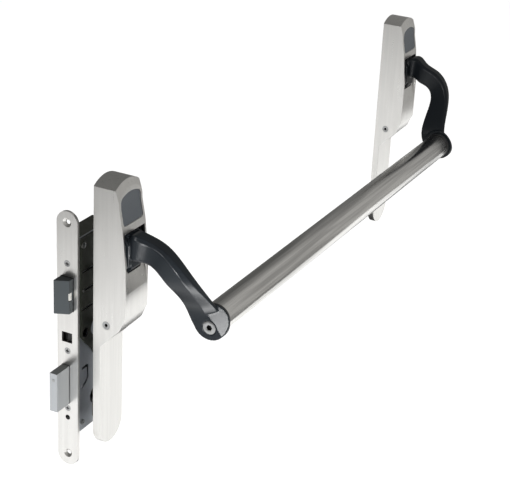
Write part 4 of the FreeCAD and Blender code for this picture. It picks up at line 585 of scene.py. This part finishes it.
class PANICBAR_OT_screws(bpy.types.Operator):
    """Breaks the edges of screws, rivets and pins that show"""

    bl_idname = "panicbar.screws"
    bl_label = "Screws and rivets"

    def execute(self, context):
        for node in SOCKET_SCREWS + OTHER_SCREWS:
            shape = merged_copy(node)
            round_over(shape, sharp_outer(shape, least=40), sizes().screw_edge)
            if node in SOCKET_SCREWS:
                self.mark_sockets(shape, node)
            piece = place_piece(shape, "finished_" + node, node)
            # The sockets' sunk faces take a second, dark grey material: painted shade for the recess.
            if node in SOCKET_SCREWS:
                piece.data.materials.append(finish("socket"))
        return {"FINISHED"}

    def mark_sockets(self, shape, node):
        """Sets the sunk faces of the hexagon sockets, which lie along X, apart for a painted shade of their
        own.
        """
        low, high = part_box(node)
        middle = (low + high) / 2
        reach = (high.z - low.z) / 2 * sizes().socket_share
        for face in shape.faces:
            centre = face.calc_center_median()
            sunk = min(centre.x - low.x, high.x - centre.x) > SOCKET_DEPTH
            if sunk and math.hypot(centre.y - middle.y, centre.z - middle.z) < reach:
                face.material_index = 1


class PANICBAR_OT_workings(bpy.types.Operator):
    """Gives every piece inside the housings and the lock its finish"""

    bl_idname = "panicbar.workings"
    bl_label = "Inner workings"

    def execute(self, context):
        for side in HOUSINGS:
            node = side + "_return_spring"
            spring = place_piece(merged_copy(node), side + "_compressed_spring", node)
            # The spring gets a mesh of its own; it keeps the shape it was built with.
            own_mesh(spring)
        for name, node in NODES.items():
            if not node.hide_render:
                node.data.materials.clear()
                node.data.materials.append(finish(SLOTS[name]))
        return {"FINISHED"}


class SoftBox(NamedTuple):
    """A square soft box aimed at a point. Metres and watts."""

    name: str
    place: tuple
    aim: tuple
    size: float
    power: float
    arms_only: bool = False  # lights only the cast arms, which then also mirror it


# The last four give the slopes round the near arm's boss their sheen.
SOFT_BOXES = (
    SoftBox("key_soft_box", place=(-1.0, -1.3, 1.9), aim=(0.25, 0, 0), size=1.4, power=22),
    SoftBox("fill_soft_box", place=(1.6, -1.8, 1.0), aim=(0.3, 0, 0), size=1.6, power=12),
    SoftBox("front_soft_box", place=(-0.66, -0.28, 0.2), aim=(0.03, -0.09, 0.02),
            size=0.4, power=1.5, arms_only=True),
    SoftBox("boss_soft_box", place=(-0.155, -0.183, 0.022), aim=(0.03, -0.09, 0.02),
            size=0.08, power=1.1, arms_only=True),
    SoftBox("low_soft_box", place=(-0.055, -0.19, -0.24), aim=(0.032, -0.094, 0.03),
            size=0.16, power=1.2, arms_only=True),
    SoftBox("upper_soft_box", place=(-0.6, 0.1, 0.55), aim=(0.03, -0.09, 0.05),
            size=0.4, power=6, arms_only=True),
)


class Card(NamedTuple):
    """A card that lies on the floor out of view, for the metal to mirror. It is named as its colour."""

    name: str
    place: tuple
    size: tuple
    glow: float = 1.0


CARDS = (
    Card("white_card", place=(-1.2, 0.5), size=(1.8, 1.7), glow=1.25),
    Card("grey_card", place=(1.3, -1.55), size=(2.2, 1.8)),
    Card("dark_card", place=(-0.72, -1.2), size=(0.9, 1.0)),
    Card("edge_card", place=(0.79, 0.15), size=(1.3, 0.34)),
)
CARD_LIFT = 3 * MM

FLOOR_REACH = 12
PAPER_GLOW = 0.45
TENT_MIDDLE = (0.3, 0, 0)
TENT_RADIUS = 1.35
TENT_GAP = 10 * MM  # the tent's cloth ends this far above the floor
SURROUND_LIGHT = 0.55


def seen_directly(tree):
    """1 for rays that show the studio itself: from the camera, from a mirror or through glass."""
    rays = add_node(tree, "ShaderNodeLightPath").outputs
    seen = add_node(tree, "ShaderNodeMath", {
        0: rays["Is Camera Ray"], 1: rays["Is Glossy Ray"]}, operation="MAXIMUM")
    seen = add_node(tree, "ShaderNodeMath", {
        0: seen.outputs["Value"], 1: rays["Is Transmission Ray"]}, operation="MAXIMUM")
    return seen.outputs["Value"]


def only_mirrored(thing):
    """Hides a stage object from everything but reflections."""
    thing.visible_camera = False
    thing.visible_shadow = False
    thing.visible_diffuse = False


class PANICBAR_OT_stage(bpy.types.Operator):
    """Adds floor, lamps, background and camera"""

    bl_idname = "panicbar.stage"
    bl_label = "Studio"

    def execute(self, context):
        scene = context.scene
        scene.view_settings.view_transform = "Standard"
        self.add_floor()
        self.add_tent()
        for card in CARDS:
            self.add_card(card)
        self.light_world(scene)
        for box in SOFT_BOXES:
            self.add_soft_box(scene, box)
        self.add_camera(scene)
        return {"FINISHED"}

    def add_floor(self):
        """White seamless paper: it shows as white, also in the metal, and keeps a soft shadow."""
        shape = bmesh.new()
        bmesh.ops.create_grid(shape, x_segments=1, y_segments=1, size=FLOOR_REACH)
        bmesh.ops.translate(shape, verts=shape.verts, vec=(0, 0, -sizes().floor_drop))
        floor = add_object("studio_floor", shape)
        material, tree, _ = start_material("seamless_paper")
        glow = add_node(tree, "ShaderNodeMath", {0: seen_directly(tree), 1: PAPER_GLOW}, operation="MULTIPLY")
        floor.data.materials.append(end_material(material, add_node(tree, "ShaderNodeBsdfPrincipled", {
            "Base Color": linear(colours().paper), "Roughness": 0.9, "Specular IOR Level": 0.0,
            "Emission Color": (1, 1, 1, 1), "Emission Strength": glow.outputs["Value"]})))

    def add_tent(self):
        """A grey light tent, darker behind the bar, which every face turned upwards or outwards mirrors."""
        shape = bmesh.new()
        bmesh.ops.create_uvsphere(shape, u_segments=48, v_segments=24, radius=TENT_RADIUS)
        low = [vert for vert in shape.verts if vert.co.z < TENT_GAP - sizes().floor_drop]
        bmesh.ops.delete(shape, geom=low, context="VERTS")
        bmesh.ops.translate(shape, verts=shape.verts, vec=TENT_MIDDLE)
        tent = add_object("light_tent", shape)
        material, tree, place = start_material("tent_cloth")
        depth = add_node(tree, "ShaderNodeSeparateXYZ", {"Vector": place}).outputs["Y"]
        blend = add_node(tree, "ShaderNodeMapRange", {"Value": depth, "From Min": -0.5, "From Max": 0.6})
        tint = add_node(tree, "ShaderNodeMix", {
            0: blend.outputs["Result"], 6: linear(colours().tent_front),
            7: linear(colours().tent_back)}, data_type="RGBA")
        tent.data.materials.append(end_material(material, add_node(tree, "ShaderNodeEmission", {
            "Color": tint.outputs[2], "Strength": 1.0})))
        only_mirrored(tent)

    def add_card(self, card):
        shape = bmesh.new()
        bmesh.ops.create_grid(shape, x_segments=1, y_segments=1, size=0.5)
        bmesh.ops.scale(shape, verts=shape.verts, vec=(*card.size, 1))
        bmesh.ops.translate(shape, verts=shape.verts, vec=(*card.place, CARD_LIFT - sizes().floor_drop))
        board = add_object(card.name, shape)
        material, tree, _ = start_material(card.name)
        board.data.materials.append(end_material(material, add_node(tree, "ShaderNodeEmission", {
            "Color": linear(getattr(colours(), card.name)), "Strength": card.glow})))
        only_mirrored(board)

    def light_world(self, scene):
        """An even pale surround that shows as white."""
        world = bpy.data.worlds.new("pale_surround")
        world.use_nodes = True
        scene.world = world
        tree = world.node_tree
        tree.nodes.clear()
        strength = add_node(tree, "ShaderNodeMapRange", {
            "Value": seen_directly(tree), "To Min": SURROUND_LIGHT, "To Max": 1.0})
        light = add_node(tree, "ShaderNodeBackground", {
            "Color": (1, 1, 1, 1), "Strength": strength.outputs["Result"]})
        add_node(tree, "ShaderNodeOutputWorld", {"Surface": light.outputs["Background"]})

    def add_soft_box(self, scene, box):
        light = bpy.data.lights.new(box.name, "AREA")
        light.shape = "SQUARE"
        light.size = box.size
        light.energy = box.power
        lamp = bpy.data.objects.new(box.name, light)
        scene.collection.objects.link(lamp)
        lamp.visible_camera = False
        lamp.visible_glossy = box.arms_only
        if box.arms_only:
            receivers = bpy.data.collections.new(box.name + "_receivers")
            for side in HOUSINGS:
                receivers.objects.link(bpy.data.objects[side + "_cast_arm"])
            lamp.light_linking.receiver_collection = receivers
        lamp.location = box.place
        lamp.rotation_euler = (Vector(box.aim) - Vector(box.place)).to_track_quat("-Z", "Y").to_euler()

    def add_camera(self, scene):
        """The photograph's place, aim and lens."""
        right = Vector((0.46719122, -0.88290784, 0.04696923))
        down = Vector((-0.34385114, -0.23037685, -0.91032571))
        ahead = Vector((0.81455434, 0.40914575, -0.4112189))
        lens = bpy.data.cameras.new("camera")
        lens.sensor_fit = "HORIZONTAL"
        lens.sensor_width = 36
        lens.lens = 106.98
        lens.clip_start = 0.05
        camera = bpy.data.objects.new("camera", lens)
        scene.collection.objects.link(camera)
        turn = Matrix((right, -down, -ahead)).transposed()
        camera.matrix_world = Matrix.Translation((-1.035185, -0.668676, 0.638724)) @ turn.to_4x4()
        scene.camera = camera


class PANICBAR_PT_panel(bpy.types.Panel):
    """Lists the sizes and colours, the pieces of the panic bar and its studio"""

    bl_idname = "PANICBAR_PT_panel"
    bl_label = "Panic bar"
    bl_space_type = "VIEW_3D"
    bl_region_type = "UI"
    bl_category = "Panic bar"

    def draw(self, context):
        for group in (sizes(), colours()):
            column = self.layout.column()
            for name in group.bl_rna.properties.keys():
                if name not in ("rna_type", "name"):
                    column.prop(group, name)
        for operator in OPERATORS:
            self.layout.operator(operator.bl_idname)


GROUPS = (PanicBarSizes, PanicBarColours)
OPERATORS = (PANICBAR_OT_covers, PANICBAR_OT_panels, PANICBAR_OT_arms, PANICBAR_OT_bar, PANICBAR_OT_forend,
             PANICBAR_OT_bolts, PANICBAR_OT_screws, PANICBAR_OT_workings, PANICBAR_OT_stage)
CLASSES = GROUPS + OPERATORS + (PANICBAR_PT_panel,)


def register():
    for kind in CLASSES:
        bpy.utils.register_class(kind)
    bpy.types.Scene.panic_bar_sizes = PointerProperty(type=PanicBarSizes)
    bpy.types.Scene.panic_bar_colours = PointerProperty(type=PanicBarColours)


def unregister():
    del bpy.types.Scene.panic_bar_colours
    del bpy.types.Scene.panic_bar_sizes
    for kind in reversed(CLASSES):
        bpy.utils.unregister_class(kind)


def main():
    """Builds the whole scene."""
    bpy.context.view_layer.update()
    register()
    for operator in OPERATORS:
        group, name = operator.bl_idname.split(".")
        getattr(getattr(bpy.ops, group), name)()


if __name__ == "__main__":
    main()
